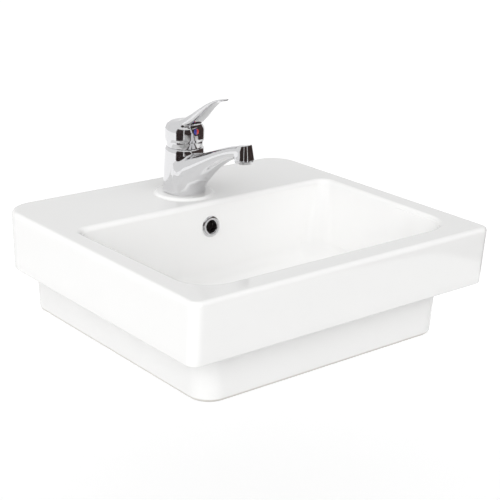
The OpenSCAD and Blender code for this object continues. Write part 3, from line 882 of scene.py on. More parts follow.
    def landing(self, ring: np.ndarray) -> np.ndarray:
        """Raise the points that lie on the tap's landing.

        Args:
            ring: points on the deck.

        Returns:
            The raised points.
        """
        r = np.hypot(ring[:, 0], ring[:, 1] - self.tap_y)
        u = np.clip((r - self.landing_r) / self.landing_skirt, 0, 1)
        out = ring.copy()
        out[:, 2] += self.landing_h * (1 + np.cos(np.pi * u)) / 2
        return out

    def skin_rings(self) -> list[np.ndarray]:
        """All rings from the underside, round the rim and down the bowl.

        Returns:
            The rings in order.
        """
        hollow = self.body_ring(-self.body_h, self.skirt_t)
        rings = [self.on_floor(hollow, s, -self.wall_t) for s in (0.25, 0.5, 0.75, 0.97, 1.0)]
        rings += [hollow + [0, 0, 0.6], hollow, self.body_ring(-self.body_h, self.skirt_t - 0.6)]
        r = self.body_edge_r
        for a in np.radians(np.arange(0, 91, 11.25)):
            rings.append(self.body_ring(-self.body_h + r * (1 - math.cos(a)), r * (1 - math.sin(a))))
        rings += [self.body_ring(z, 0) for z in (-45, -20)]
        for a in np.radians((0, 30, 60, 90)):
            rings.append(self.body_ring(-2 + 2 * math.sin(a), -2 * (1 - math.cos(a))))
        rings.append(self.rim_ring(0, self.low_edge_r + 1))
        r = self.low_edge_r
        for a in np.radians(np.arange(0, 91, 15)):
            rings.append(self.rim_ring(r * (1 - math.cos(a)), r * (1 - math.sin(a))))
        rings += [self.rim_ring(z, 0) for z in (12, 30, 50, 66)]
        r = self.top_edge_r
        for a in np.radians(np.arange(0, 91, 7.5)):
            rings.append(self.rim_ring(self.rim_h - r * (1 - math.sin(a)), r * (1 - math.cos(a))))
        outer, inner = rings[-1], self.edge_ring(90)
        steps = self.deck_steps
        rings += [self.landing(outer + (inner - outer) * k / steps) for k in range(1, steps)]
        rings += [self.landing(self.edge_ring(a)) for a in np.arange(90, -1, -7.5)]
        foot_d = self.bowl_depth - self.foot_r - 12
        rings += [self.bowl_ring(d, 0, self.rim_h - d) for d in np.linspace(0.06, 0.97, 14) * foot_d]
        for a in np.radians(np.arange(0, 91, 9)):
            ring = self.bowl_ring(foot_d, self.foot_r * (1 - math.cos(a)), 0)
            ring[:, 2] = self.floor_z(ring[:, 0], ring[:, 1]) + self.foot_r * (1 - math.sin(a))
            rings.append(ring)
        foot = self.bowl_ring(foot_d, self.foot_r, 0)
        rings += [self.on_floor(foot, s, 0) for s in (0.93, 0.8, 0.65, 0.5, 0.36, 0.24, 0.12)]
        return rings

    def chamber(self) -> bpy.types.Object:
        """The open space under the tap deck, as a tool.

        Returns:
            The tool.
        """
        lean = self.back_lean / self.bowl_depth
        w = self.half_w - self.ledge_side - self.body_draft - self.skirt_t - 1
        back = self.half_d - self.ledge_back - self.body_draft - self.skirt_t - 1
        top = self.rim_h - self.deck_t

        def ring(z: float, inset: float) -> np.ndarray:
            """Outline of the space at a height."""
            front = self.bowl_back_y + self.wall_t - (self.rim_h - z) * lean + inset
            return self.plan(w - inset, w - inset, front, back - inset, corner - inset, corner - inset, z, z)

        corner, r = self.chamber_corner_r, self.chamber_top_r
        rings = [ring(-self.body_h - 1, 0)]
        for a in np.radians(np.arange(0, 91, 15)):
            rings.append(ring(top - r * (1 - math.sin(a)), r * (1 - math.cos(a))))
        mid = (self.bowl_back_y + back) / 2
        return loft("chamber_tool", rings, (0, mid, -self.body_h - 1), (0, mid, top))

    def rod(self, start: Point, end: Point, radius: float) -> bpy.types.Object:
        """A round tool from one point to another.

        Args:
            start, end: the ends of its axis.
            radius: its radius.

        Returns:
            The tool.
        """
        a, b = Vector(start), Vector(end)
        work = bmesh.new()
        turn = (b - a).to_track_quat("Z", "Y").to_matrix().to_4x4()
        place = Matrix.Translation((a + b) / 2) @ turn
        bmesh.ops.create_cone(work, cap_ends=True, segments=64, radius1=radius, radius2=radius,
                              depth=(b - a).length, matrix=place)
        bmesh.ops.scale(work, vec=(MM, MM, MM), verts=work.verts)
        mesh = bpy.data.meshes.new("rod_tool")
        work.to_mesh(mesh)
        work.free()
        item = bpy.data.objects.new("rod_tool", mesh)
        bpy.context.scene.collection.objects.link(item)
        return item

    def build(self) -> bpy.types.Object:
        """Make and dress the casting.

        Returns:
            The casting.
        """
        item = loft("basin_china", self.skin_rings(), (0, self.drain_y, self.drain_z - self.wall_t),
                    (0, self.drain_y, self.drain_z))
        item.data.materials.append(GLAZE.build())
        angle = math.atan(self.back_lean / self.bowl_depth)
        over_y = self.bowl_back_y - self.overflow_depth * math.tan(angle)
        over = Vector((0, over_y, self.rim_h - self.overflow_depth))
        inwards = Vector((0, math.cos(angle), -math.sin(angle)))
        boss_z = -self.body_h + self.boss_rise
        duct_r = self.channel_r + self.channel_wall
        channel_z = boss_z + duct_r
        behind = self.wall_t + self.channel_r - 2
        top = over + Vector((0, behind, 2))
        turn = Vector((0, top.y - (top.z - channel_z) * math.tan(angle), channel_z))
        end = Vector((0, self.drain_y, channel_z))
        boss_r = self.waste_hole_r + self.boss_wall
        y, z = self.drain_y, self.drain_z
        seat_z = z - self.seat_t
        steps: list[tuple[str, bpy.types.Object]] = [
            ("DIFFERENCE", self.chamber()),
            ("UNION", self.rod((0, y, boss_z), (0, y, z - 6), boss_r)),
            ("UNION", self.rod(top + Vector((0, 0, 6)), turn + Vector((0, -1, -4)), duct_r)),
            ("UNION", self.rod(turn + Vector((0, 5, 0)), end, duct_r)),
            ("DIFFERENCE", self.rod((0, self.tap_y, 40), (0, self.tap_y, 120), self.tap_hole_r)),
            ("DIFFERENCE", self.rod((0, y, -90), (0, y, 0), self.waste_hole_r)),
            ("DIFFERENCE", self.rod((0, y, seat_z), (0, y, 0), self.waste_seat_r)),
            ("DIFFERENCE", self.rod(top, turn, self.channel_r)),
            ("DIFFERENCE", self.rod(turn, end, self.channel_r)),
            ("DIFFERENCE", self.rod(over - inwards * 20, over + inwards * behind, self.overflow_hole_r)),
        ]
        tap_hole, seat = steps[4][1], steps[6][1]
        # The cut walls of the overflow hole, its channel and the waste hole get the painted shade lining;
        # the tap hole, the chamber and the added pieces stay unglazed, and the waste's seat stays glazed.
        raw, painted_dark = BISQUE.build(), PAINTED_SHADE_LINING.build()
        for operation, tool in steps:
            bare = operation == "UNION" or tool.name.startswith("chamber")
            tool.data.materials.append(raw if bare else painted_dark)
        tap_hole.data.materials[0] = raw
        seat.data.materials[0] = GLAZE.build()
        joined(item, steps)
        self.leave_bare(item)
        return dress(item, Slot.CHINA, "base", ["basin"])

    def leave_bare(self, item: bpy.types.Object) -> None:
        """Leave the foot and the underside without glaze.

        Args:
            item: the casting.
        """
        names = [m.name for m in item.data.materials]
        glaze, bare = names.index(GLAZE.name), names.index(BISQUE.name)
        for face in item.data.polygons:
            low = face.center.z < -(self.body_h - 1.2) * MM
            under = face.normal.z < -0.3 and face.center.z < -40 * MM
            if face.material_index == glaze and (low or under):
                face.material_index = bare


# Mixer


@dataclass
class Mixer:
    """The mixer's fixed casting, its collar and its aerator ring."""

    tap_y: float = 137.4
    land_z: float = 85.0
    base_r: float = 30.8
    neck_r: float = 28.2
    body_h: float = 66.0
    reach: float = 135.4
    outlet_h: float = 72.5
    nose_h: float = 19.6
    collar_h: float = 4.5
    spout_root_w: float = 26.0
    spout_tip_w: float = 12.0
    aerator_r: float = 11.0
    collar_r: float = 26.6
    collar_t: float = 1.6
    collar_high: float = 26.0
    shoulder_rise: float = 0.5
    shoulder_h: float = 6.6
    shoulder_in: float = 3.2
    nose_top_r: float = 10.6
    nose_low_r: float = 14.0
    nose_end: float = 9.0
    nose_slope: float = 0.22
    nose_edge: float = 1.4
    nose_fillet: float = 1.6
    fillet_top: float = 2.5
    fillet_low: float = 9.0
    fillet_grow: float = 30.0
    grid: float = 0.75

    @property
    def top(self) -> float:
        """Top of the body."""
        return self.land_z + self.body_h

    @property
    def nose_y(self) -> float:
        """Axis of the aerator."""
        return self.tap_y - self.reach

    @property
    def nose_z(self) -> float:
        """Underside of the nose."""
        return self.land_z + self.outlet_h + self.collar_h

    @property
    def pivot_z(self) -> float:
        """Height of the handle's pivot."""
        return self.top + 9

    def body_outline(self) -> np.ndarray:
        """Outline of the turned body.

        Returns:
            Radius and height pairs.
        """
        base = self.land_z + 0.4
        rows = [[0, base], [self.base_r - 1.4, base], [self.base_r - 0.8, base + 0.25],
                [self.base_r - 0.4, base + 0.8], [self.base_r - 0.1, base + 2]]
        crown = self.top + self.shoulder_rise
        start = crown - self.shoulder_h
        for z in np.linspace(base + 3, start, 40):
            u = min(1.0, max(0.0, (z - base - 3) / (self.top - 6 - base)))
            rows.append([self.base_r - (self.base_r - self.neck_r) * u**1.35, z])
        edge = rows[-1][0] - self.shoulder_in
        for a in np.radians(np.arange(6, 91, 6)):
            rows.append([edge + self.shoulder_in * math.cos(a), start + self.shoulder_h * math.sin(a)])
        rows.append([0, crown])
        return np.array(rows)

    def spout(self) -> SweptField:
        """Field of the spout.

        Returns:
            The field.
        """
        nose_top = self.nose_z + self.nose_h
        upper = [[self.tap_y - 14, self.top - 9], [self.tap_y - 54, self.top - 1.0],
                 [self.nose_y + 40, nose_top - 7.5], [self.nose_y, nose_top - 0.4]]
        lower = [[self.tap_y - 20, self.land_z + 0.5], [self.tap_y - 47, self.land_z + 25],
                 [self.nose_y + 51, self.nose_z - 9.5], [self.nose_y + 6.5, self.nose_z]]
        root, tip = self.spout_root_w, self.spout_tip_w
        return SweptField(upper, lower, lambda t: root + (tip - root) * (1 - (1 - t) ** 1.7), 2.7,
                          self.nose_end, 0.6)

    def nose(self) -> Field:
        """Field of the nose that the aerator screws into: narrower upwards, cut by a sloping top.

        Returns:
            The field.
        """
        low, top = self.nose_z, self.nose_z + self.nose_h
        a, b = self.nose_low_r, self.nose_top_r
        rows = [[0, low], [a - 0.6, low], [a - 0.15, low + 0.2], [a, low + 0.7], [b, top],
                [b - 0.8, top + 6], [0, top + 6]]
        cone = TurnedField(self.nose_y, np.array(rows))
        scale = 1 / math.hypot(1, self.nose_slope)

        def shape(x: np.ndarray, y: np.ndarray, z: np.ndarray) -> np.ndarray:
            """The cone below the sloping plane, with a soft edge between them."""
            plane = (z - top - (self.nose_y - y) * self.nose_slope) * scale
            return -blend(-cone(x, y, z), -plane, self.nose_edge)

        return shape

    def casting(self) -> bpy.types.Object:
        """Body and spout in one smooth piece.

        Returns:
            The casting.
        """
        body, spout, nose = TurnedField(self.tap_y, self.body_outline()), self.spout(), self.nose()

        def shape(x: np.ndarray, y: np.ndarray, z: np.ndarray) -> np.ndarray:
            """Field of the whole casting, with a fillet that widens downwards.

            Args:
                x, y, z: coordinates of the points.

            Returns:
                The field's values.
            """
            low = np.clip((self.top - 6 - z) / self.fillet_grow, 0, 1)
            fillet = self.fillet_top + (self.fillet_low - self.fillet_top) * low
            return blend(blend(body(x, y, z), spout(x, y, z), fillet), nose(x, y, z), self.nose_fillet)

        item = skin("mixer_casting", shape, (-33, self.nose_y - 17, self.land_z - 1),
                    (33, self.tap_y + 33, self.nose_z + self.nose_h + 2), self.grid)
        return dress(item, Slot.CHROME, "base", ["mixer_body"])

    def trim_collar(self) -> bpy.types.Object:
        """The ball-shaped ring in the waist.

        Returns:
            The ring.
        """
        outer, inner = self.collar_r, self.collar_r - self.collar_t
        foot = self.top + self.shoulder_rise - 0.5 - self.pivot_z
        low = math.asin(foot / outer)
        in_low = math.asin(foot / inner)
        high = math.radians(self.collar_high)
        rows = []
        for r, angles in ((outer, np.linspace(low, high, 22)), (inner, np.linspace(high, in_low, 12))):
            rows += [[r * math.cos(a), self.pivot_z + r * math.sin(a)] for a in angles]
        item = turned("collar_ring", rows, self.tap_y, 128)
        return dress(item, Slot.CHROME, "base", ["trim_collar"])

    def aerator(self) -> bpy.types.Object:
        """The threaded ring under the nose.

        Returns:
            The ring.
        """
        r, low = self.aerator_r, self.land_z + self.outlet_h
        top = self.nose_z + 9.5
        rows = [[r - 2.2, low], [r + 1.1, low], [r + 1.6, low + 0.25], [r + 1.8, low + 0.8],
                [r + 1.8, self.nose_z - 0.3], [r, self.nose_z], [r, top], [r - 1.4, top],
                [r - 1.4, low + 1.8], [r - 2.2, low + 1.8]]
        item = turned("aerator_ring", rows, self.nose_y)
        return dress(item, Slot.CHROME, "base", ["aerator_housing"])

    def build(self) -> None:
        """Make all the mixer's fixed pieces."""
        self.casting()
        self.trim_collar()
        self.aerator()


@dataclass
class Handle:
    """The handle: dome and lever in one piece, with its indicator."""

    tap_y: float = 137.4
    dome_r: float = 28.4
    dome_z: float = 161.0
    dome_h: float = 27.5
    pivot_z: float = 160.0
    cavity_r: float = 27.0
    reach: float = 88.0
    rise: float = 74.5
    root_w: float = 22.0
    tip_w: float = 8.0
    indicator_r: float = 4.25
    indicator_h: float = 16.2
    indicator_t: float = 3.0
    fillet: float = 3.0
    grid: float = 0.7

    @property
    def top(self) -> float:
        """Top of the dome."""
        return self.dome_z + self.dome_h

    def dome_outline(self) -> np.ndarray:
        """Outline of the dome.

        Returns:
            Radius and height pairs.
        """
        r, s = self.dome_r, self.dome_h / 2
        rows = [[0, self.dome_z], [r - 1.1, self.dome_z], [r - 0.85, self.dome_z + 0.15],
                [r - 0.7, self.dome_z + 0.5], [r - 0.3, self.dome_z + 2.2], [r, self.dome_z + 3.8]]
        rows += [[r, z] for z in np.linspace(self.dome_z + 4, self.top - s - 1, 6)]
        for a in np.radians(np.arange(3, 90, 3)):
            rows.append([r - s + s * math.cos(a), self.top - s + s * math.sin(a)])
        rows += [[r - s - 3, self.top + 0.3], [6, self.top + 0.75], [0, self.top + 0.9]]
        return np.array(rows)

    def lever(self) -> SweptField:
        """Field of the lever.

        Returns:
            The field.
        """
        tip_y, tip_z = self.tap_y - self.reach, self.dome_z + self.rise
        upper = [[self.tap_y + 12, self.top - 1.3], [self.tap_y - 16, self.top + 0.9],
                 [tip_y + 34, tip_z - 5], [tip_y, tip_z]]
        lower = [[self.tap_y + 6, self.top - 14], [self.tap_y - 40, self.top - 3.5],
                 [tip_y + 36, tip_z - 15.5], [tip_y + 1, tip_z - 2.2]]
        root, tip = self.root_w, self.tip_w
        return SweptField(upper, lower, lambda t: tip + (root - tip) * (1 - t) ** 1.7, 3.2, 4.0, 0.6)

    def casting(self) -> bpy.types.Object:
        """Dome and lever in one smooth piece.

        Returns:
            The casting.
        """
        dome, lever = TurnedField(self.tap_y, self.dome_outline()), self.lever()

        def shape(x: np.ndarray, y: np.ndarray, z: np.ndarray) -> np.ndarray:
            """Field of the whole handle, hollow inside and bored for the indicator.

            Args:
                x, y, z: coordinates of the points.

            Returns:
                The field's values.
            """
            ball = np.sqrt(x * x + (y - self.tap_y) ** 2 + (z - self.pivot_z) ** 2) - self.cavity_r
            bore = np.sqrt(x * x + (z - self.dome_z - self.indicator_h) ** 2) - self.indicator_r - 0.1
            seat = np.maximum(bore, y - (self.tap_y - self.dome_r + self.indicator_t))
            outside = blend(dome(x, y, z), lever(x, y, z), self.fillet)
            return np.maximum(np.maximum(outside, -ball), -seat)

        item = skin("handle_casting", shape, (-30, self.tap_y - self.reach - 7, self.dome_z - 1),
                    (30, self.tap_y + 30, self.dome_z + self.rise + 2), self.grid)
        return dress(item, Slot.CHROME, "lever", ["lever_handle"])

    def indicator(self) -> bpy.types.Object:
        """The two-coloured plug in the front of the dome.

        Returns:
            The plug.
        """
        r, t = self.indicator_r, self.indicator_t
        rows = [[0, 0], [r, 0], [r, t - 0.9], [r - 0.25, t - 0.55], [r - 0.7, t - 0.3],
                [r * 0.5, t - 0.1], [0, t]]
        item = turned("indicator_lens", rows, 0, 64, 90.0,
                      (0, self.tap_y - self.dome_r + t, self.dome_z + self.indicator_h))
        return dress(item, Slot.INDICATOR, "lever", ["indicator_plug"])

    def build(self) -> None:
        """Make the handle's pieces."""
        self.casting()
        self.indicator()


@dataclass
class Overflow:
    """The chrome ring in the bowl's back wall."""

    y: float = 73.14
    z: float = 47.5
    lean: float = 5.557
    hole_r: float = 11.5
    ring_r: float = 15.15
    bore_r: float = 9.4

    def build(self) -> bpy.types.Object:
        """Make the ring.

        Returns:
            The ring.
        """
        b, o = self.bore_r, self.ring_r
        rows = [[b, -8], [self.hole_r - 0.3, -8], [self.hole_r - 0.3, 0.1], [o, 0.1], [o, 0.6],
                [o - 0.3, 1.1], [o - 1.4, 2.1], [o - 2.2, 2.4], [b + 1.3, 2.4], [b + 0.5, 2.1], [b, 1.5]]
        item = turned("overflow_trim", rows, 0, 96, 90 - self.lean, (0, self.y, self.z))
        return dress(item, Slot.CHROME, "base", ["overflow_ring"])


# Pieces grown by geometry node trees


class Grower:
    """Base of the geometry node trees: named inputs, and one plain mesh as the result."""

    name: str = "grower"

    def __init__(self) -> None:
        """Start the tree with its output."""
        self.tree = bpy.data.node_groups.new(self.name, "GeometryNodeTree")
        self.sheet = NodeSheet(self.tree)
        self.tree.interface.new_socket("Geometry", in_out="OUTPUT", socket_type="NodeSocketGeometry")
        self.keys: dict[str, str] = {}
        self.inlet: bpy.types.Node | None = None

    def inputs(self, names: Sequence[str]) -> None:
        """Args:
            names: names of the number inputs.
        """
        for name in names:
            socket = self.tree.interface.new_socket(name, in_out="INPUT", socket_type="NodeSocketFloat")
            self.keys[name] = socket.identifier
        socket = self.tree.interface.new_socket("Finish", in_out="INPUT", socket_type="NodeSocketMaterial")
        self.keys["Finish"] = socket.identifier
        self.inlet = self.sheet.add("NodeGroupInput")

    def finish(self, geometry: bpy.types.NodeSocket) -> None:
        """Close the tree: real geometry with its material.

        Args:
            geometry: the socket that gives the shape.
        """
        real = self.sheet.add("GeometryNodeRealizeInstances", {"Geometry": geometry})
        paint = self.sheet.add("GeometryNodeSetMaterial", {
            "Geometry": real.outputs["Geometry"], "Material": self.inlet.outputs["Finish"]})
        self.sheet.add("NodeGroupOutput", {"Geometry": paint.outputs["Geometry"]})

    def grow(self, name: str, values: dict[str, float], material: bpy.types.Material,
             smooth_angle: float = 35.0) -> bpy.types.Object:
        """Run the tree once and keep its result as a plain mesh.

        Args:
            name: the piece's name.
            values: millimetres by input name.
            material: the finish.
            smooth_angle: edges sharper than this stay crisp.

        Returns:
            The piece.
        """
        item = bpy.data.objects.new(name, bpy.data.meshes.new(name))
        bpy.context.scene.collection.objects.link(item)
        step = item.modifiers.new("grow", "NODES")
        step.node_group = self.tree
        for key, value in values.items():
            step[self.keys[key]] = float(value * MM)
        step[self.keys["Finish"]] = material
        bake(item)
        outward(item.data, 1e-6)
        soften(item.data, smooth_angle)
        return item


class ThreadGrower(Grower):
    """A threaded rod as one closed skin: a sheet wrapped round Z, with its radius set by the helix."""

    name: str = "thread_grower"
    around: int = 48
    along: int = 700

    def __init__(self) -> None:
        """Build the tree."""
        super().__init__()
        self.inputs(("Crest Radius", "Thread Depth", "Pitch", "Bottom", "Top", "Run Out"))
        sheet, given = self.sheet, self.inlet.outputs
        grid = sheet.add("GeometryNodeMeshGrid", {
            "Size X": 1.0, "Size Y": 1.0, "Vertices X": self.around + 1, "Vertices Y": self.along + 1})
        start = sheet.add("GeometryNodeInputPosition").outputs["Position"]
        place = sheet.add("ShaderNodeSeparateXYZ", {"Vector": start})
        turn = sheet.math("ADD", place.outputs["X"], 0.5)
        share = sheet.math("ADD", place.outputs["Y"], 0.5)
        length = sheet.math("SUBTRACT", given["Top"], given["Bottom"])
        rise = sheet.math("MULTIPLY", share, length)
        height = sheet.math("ADD", rise, given["Bottom"])
        turns = sheet.math("DIVIDE", height, given["Pitch"])
        phase = sheet.math("FRACT", sheet.math("SUBTRACT", turns, turn))
        ridge = sheet.math("ABSOLUTE", sheet.math("SUBTRACT", sheet.math("MULTIPLY", phase, 2.0), 1.0))
        nearest_end = sheet.math("MINIMUM", rise, sheet.math("SUBTRACT", length, rise))
        ends = sheet.math("MINIMUM", sheet.math("DIVIDE", nearest_end, given["Run Out"]), 1.0)
        lift = sheet.math("MULTIPLY", sheet.math("MULTIPLY", ridge, ends), given["Thread Depth"])
        core = sheet.math("SUBTRACT", given["Crest Radius"], given["Thread Depth"])
        past_start = sheet.math("GREATER_THAN", share, 1e-4)
        before_end = sheet.math("LESS_THAN", share, 0.9999)
        between = sheet.math("MULTIPLY", past_start, before_end)
        radius = sheet.math("MULTIPLY", sheet.math("ADD", core, lift), between)
        angle = sheet.math("MULTIPLY", turn, 2 * math.pi)
        spot = sheet.add("ShaderNodeCombineXYZ", {
            "X": sheet.math("MULTIPLY", radius, sheet.math("COSINE", angle)),
            "Y": sheet.math("MULTIPLY", radius, sheet.math("SINE", angle)), "Z": height})
        move = sheet.add("GeometryNodeSetPosition", {
            "Geometry": grid.outputs["Mesh"], "Position": spot.outputs["Vector"]})
        merge = sheet.add("GeometryNodeMergeByDistance", {
            "Geometry": move.outputs["Geometry"], "Distance": 1e-6})
        self.finish(merge.outputs["Geometry"])


class MeshGrower(Grower):
    """The aerator's insert: a ring wall with crossing bars, each as long as the bore is wide there."""

    name: str = "aerator_mesh_grower"
    bars: int = 7

    def __init__(self) -> None:
        """Build the tree."""
        super().__init__()
        self.inputs(("Bore Radius", "Wall", "Height", "Bar Width", "Bar Height", "Spacing"))
        join = self.sheet.add("GeometryNodeJoinGeometry")
        for part in (self.row(0.0), self.row(math.pi / 2), self.wall()):
            self.sheet.fill(join, {"Geometry": part})
        self.finish(join.outputs["Geometry"])

    def row(self, quarter: float) -> bpy.types.NodeSocket:
        """One set of parallel bars.

        Args:
            quarter: turn of the set round Z.

        Returns:
            The bars.
        """
        sheet, given = self.sheet, self.inlet.outputs
        start = sheet.add("ShaderNodeCombineXYZ", {
            "Y": sheet.math("MULTIPLY", given["Spacing"], -(self.bars - 1) / 2),
            "Z": sheet.math("MULTIPLY", given["Bar Height"], 0.5)})
        step = sheet.add("ShaderNodeCombineXYZ", {"Y": given["Spacing"]})
        line = sheet.add("GeometryNodeMeshLine", {
            "Count": self.bars, "Start Location": start.outputs["Vector"],
            "Offset": step.outputs["Vector"]})
        spot = sheet.add("GeometryNodeInputPosition").outputs["Position"]
        place = sheet.add("ShaderNodeSeparateXYZ", {"Vector": spot})
        reach = sheet.math("ADD", given["Bore Radius"], sheet.math("MULTIPLY", given["Wall"], 0.5))
        aside = sheet.math("POWER", place.outputs["Y"], 2.0)
        inner = sheet.math("SUBTRACT", sheet.math("POWER", reach, 2.0), aside)
        chord = sheet.math("MULTIPLY", sheet.math("SQRT", sheet.math("MAXIMUM", inner, 0.0)), 2.0)
        size = sheet.add("ShaderNodeCombineXYZ", {
            "X": chord, "Y": given["Bar Width"], "Z": given["Bar Height"]})
        bar = sheet.add("GeometryNodeMeshCube")
        copies = sheet.add("GeometryNodeInstanceOnPoints", {
            "Points": line.outputs["Mesh"], "Instance": bar.outputs["Mesh"],
            "Scale": size.outputs["Vector"]})
        turn = sheet.add("GeometryNodeTransform", {
            "Geometry": copies.outputs["Instances"], "Rotation": (0.0, 0.0, quarter)})
        return turn.outputs["Geometry"]

    def wall(self) -> bpy.types.NodeSocket:
        """The ring wall.

        Returns:
            The wall.
        """
        sheet, given = self.sheet, self.inlet.outputs
        half = sheet.math("MULTIPLY", given["Wall"], 0.5)
        path = sheet.add("GeometryNodeCurvePrimitiveCircle", {
            "Resolution": 72, "Radius": sheet.math("ADD", given["Bore Radius"], half)})
        section = sheet.add("GeometryNodeCurvePrimitiveQuadrilateral", {
            "Width": given["Wall"], "Height": given["Height"]})
        sweep = sheet.add("GeometryNodeCurveToMesh", {
            "Curve": path.outputs["Curve"], "Profile Curve": section.outputs["Curve"]})
        rise = sheet.add("ShaderNodeCombineXYZ", {"Z": sheet.math("MULTIPLY", given["Height"], 0.5)})
        lift = sheet.add("GeometryNodeTransform", {
            "Geometry": sweep.outputs["Mesh"], "Translation": rise.outputs["Vector"]})
        return lift.outputs["Geometry"]


def shifted(item: bpy.types.Object, x: float, y: float, z: float) -> bpy.types.Object:
    """Move a piece's mesh by millimetres, so that its object stays at the origin."""
    item.data.transform(Matrix.Translation((x * MM, y * MM, z * MM)))
    return item


# Waste


@dataclass
class Waste:
    """The slotted waste, its plug and the ring nut under the china."""

    y: float = -55.95
    flange_z: float = -48.0
    flange_r: float = 32.0
    flange_t: float = 3.0
    tail_r: float = 20.95
    bore_r: float = 17.5
    tail_bottom: float = -126.5
    thread_top: float = -74.0
    pitch: float = 2.309
    thread_depth: float = 1.3
    run_out: float = 2.5
    spider_z: float = -68.0
    spider_h: float = 4.0
    bar_w: float = 3.0
    hub_r: float = 9.0
    click_r: float = 7.05
    slot_z: float = -65.0
    slot_w: float = 12.0
    slot_h: float = 12.0
    slot_reach: float = 40.0
    plug_z: float = -43.1
    plug_r: float = 29.0
    plug_t: float = 4.0
    nut_r: float = 30.0
    nut_z: float = -87.0
    nut_t: float = 10.0
    collar_r: float = 32.5
    collar_t: float = 4.0

    def box(self, low: Point, high: Point, turn: float) -> bpy.types.Object:
        """A straight bar as a tool, turned round the waste's axis.

        Args:
            low, high: its corners before the turn.
            turn: degrees round Z.

        Returns:
            The tool.
        """
        (x0, y0, z0), (x1, y1, z1) = low, high
        corners = np.array([[x, y, z] for z in (z0, z1) for y in (y0, y1) for x in (x0, x1)])
        faces = [(0, 2, 3, 1), (4, 5, 7, 6), (0, 1, 5, 4), (2, 6, 7, 3), (0, 4, 6, 2), (1, 3, 7, 5)]
        item = mesh_object("bar_tool", corners, faces)
        item.data.transform(Matrix.Rotation(math.radians(turn), 4, "Z"))
        return shifted(item, 0, self.y, 0)

    def body(self) -> bpy.types.Object:
        """Flange, slotted tube, cross bars and threaded tail in one piece.

        Returns:
            The body.
        """
        tail = ThreadGrower().grow("waste_tube", {
            "Crest Radius": self.tail_r, "Thread Depth": self.thread_depth, "Pitch": self.pitch,
            "Bottom": self.tail_bottom, "Top": self.thread_top, "Run Out": self.run_out}, CHROME.build())
        shifted(tail, 0, self.y, 0)
        f, r, t = self.flange_z, self.flange_r, self.flange_t
        neck, neck_z = self.tail_r - self.thread_depth + 0.35, self.thread_top - 2
        top = turned("flange_tool", [
            [0, neck_z], [neck, neck_z], [neck, f - 3], [neck + 1.5, f], [r - 0.4, f], [r, f + 0.3],
            [r, f + 0.9], [r - 0.5, f + 1.7], [r - 2.2, f + t - 0.3], [r - 3.4, f + t], [0, f + t]], self.y)
        b, below, above = self.bore_r, self.tail_bottom - 13.5, f + t + 0.5
        bore = turned("bore_tool", [[0, below], [b, below], [b, f + t - 0.8], [b + 1.2, above], [0, above]],
                      self.y)
        z, hub_top = self.spider_z, self.spider_z + self.spider_h
        hub = turned("hub_tool", [[0, z], [self.hub_r, z], [self.hub_r, hub_top], [0, hub_top]], self.y)
        c = self.click_r
        hole = turned("hole_tool", [[0, z - 1], [c, z - 1], [c, z + 9], [0, z + 9]], self.y)
        reach, half_bar, half_slot = b + 1, self.bar_w / 2, self.slot_w / 2
        slot_top = self.slot_z + self.slot_h
        bars = [self.box((-reach, -half_bar, z), (reach, half_bar, hub_top), a) for a in (0, 90)]
        slots = [self.box((0, -half_slot, self.slot_z), (self.slot_reach, half_slot, slot_top), a)
                 for a in (45, 135, 225, 315)]
        for tool in (top, bore, hub, hole, *bars, *slots):
            tool.data.materials.append(CHROME.build())
        joined(tail, [("UNION", top), ("DIFFERENCE", bore), ("UNION", bars[0]), ("UNION", bars[1]),
                      ("UNION", hub), ("DIFFERENCE", hole), *[("DIFFERENCE", slot) for slot in slots]])
        return dress(tail, Slot.CHROME, "base", ["waste_body"])

    def plug(self) -> bpy.types.Object:
        """The domed plug.

        Returns:
            The plug.
        """
        r, z, t = self.plug_r, self.plug_z, self.plug_t
        rows = [[0, z], [r - 0.7, z], [r - 0.2, z + 0.2], [r, z + 0.7], [r, z + 1.5]]
        for a in np.radians(np.arange(8, 90, 6)):
            rows.append([(r - 0.1) * math.cos(a), z + 1.5 + (t - 1.5) * math.sin(a)])
        rows.append([0, z + t])
        item = turned("plug_cap", rows, self.y, 128)
        return dress(item, Slot.CHROME, "plug", ["waste_plug"])

    def nut(self) -> bpy.types.Object:
        """The eight-sided nut with its round collar.

        Returns:
            The nut.
        """
        z, r, top = self.nut_z, self.nut_r, self.nut_z + self.nut_t
        foot = top - self.collar_t
        rings = []
        for height, reach in ((z, 0.93), (z + 1.2, 1.0), (foot, 1.0), (foot + 0.98, 0.965)):
            a = np.radians(np.arange(8) * 45)
            x, y = r * reach * np.cos(a), self.y + r * reach * np.sin(a)
            rings.append(np.stack([x, y, np.full(8, height)], 1))
        item = loft("ring_nut", rings, (0, self.y, z), (0, self.y, foot + 0.98))
        c = self.collar_r
        collar = turned("collar_tool", [[0, foot], [c - 6.5, foot], [c - 0.5, foot + 1.4], [c, foot + 1.8],
                                        [c, top - 0.3], [c - 0.3, top], [0, top]], self.y)
        b = self.tail_r + 0.05
        bore = turned("nut_bore_tool", [[0, z - 1], [b + 1.15, z - 1], [b, z + 1], [b, top + 1],
                                        [0, top + 1]], self.y)
        for piece in (item, collar, bore):
            piece.data.materials.append(BRASS.build())
        joined(item, [("UNION", collar), ("DIFFERENCE", bore)])
        return dress(item, Slot.BRASS, "base", ["backnut"])

    def build(self) -> None:
        """Make the waste's pieces."""
        self.body()
        self.plug()
        self.nut()


# Mixer fixings


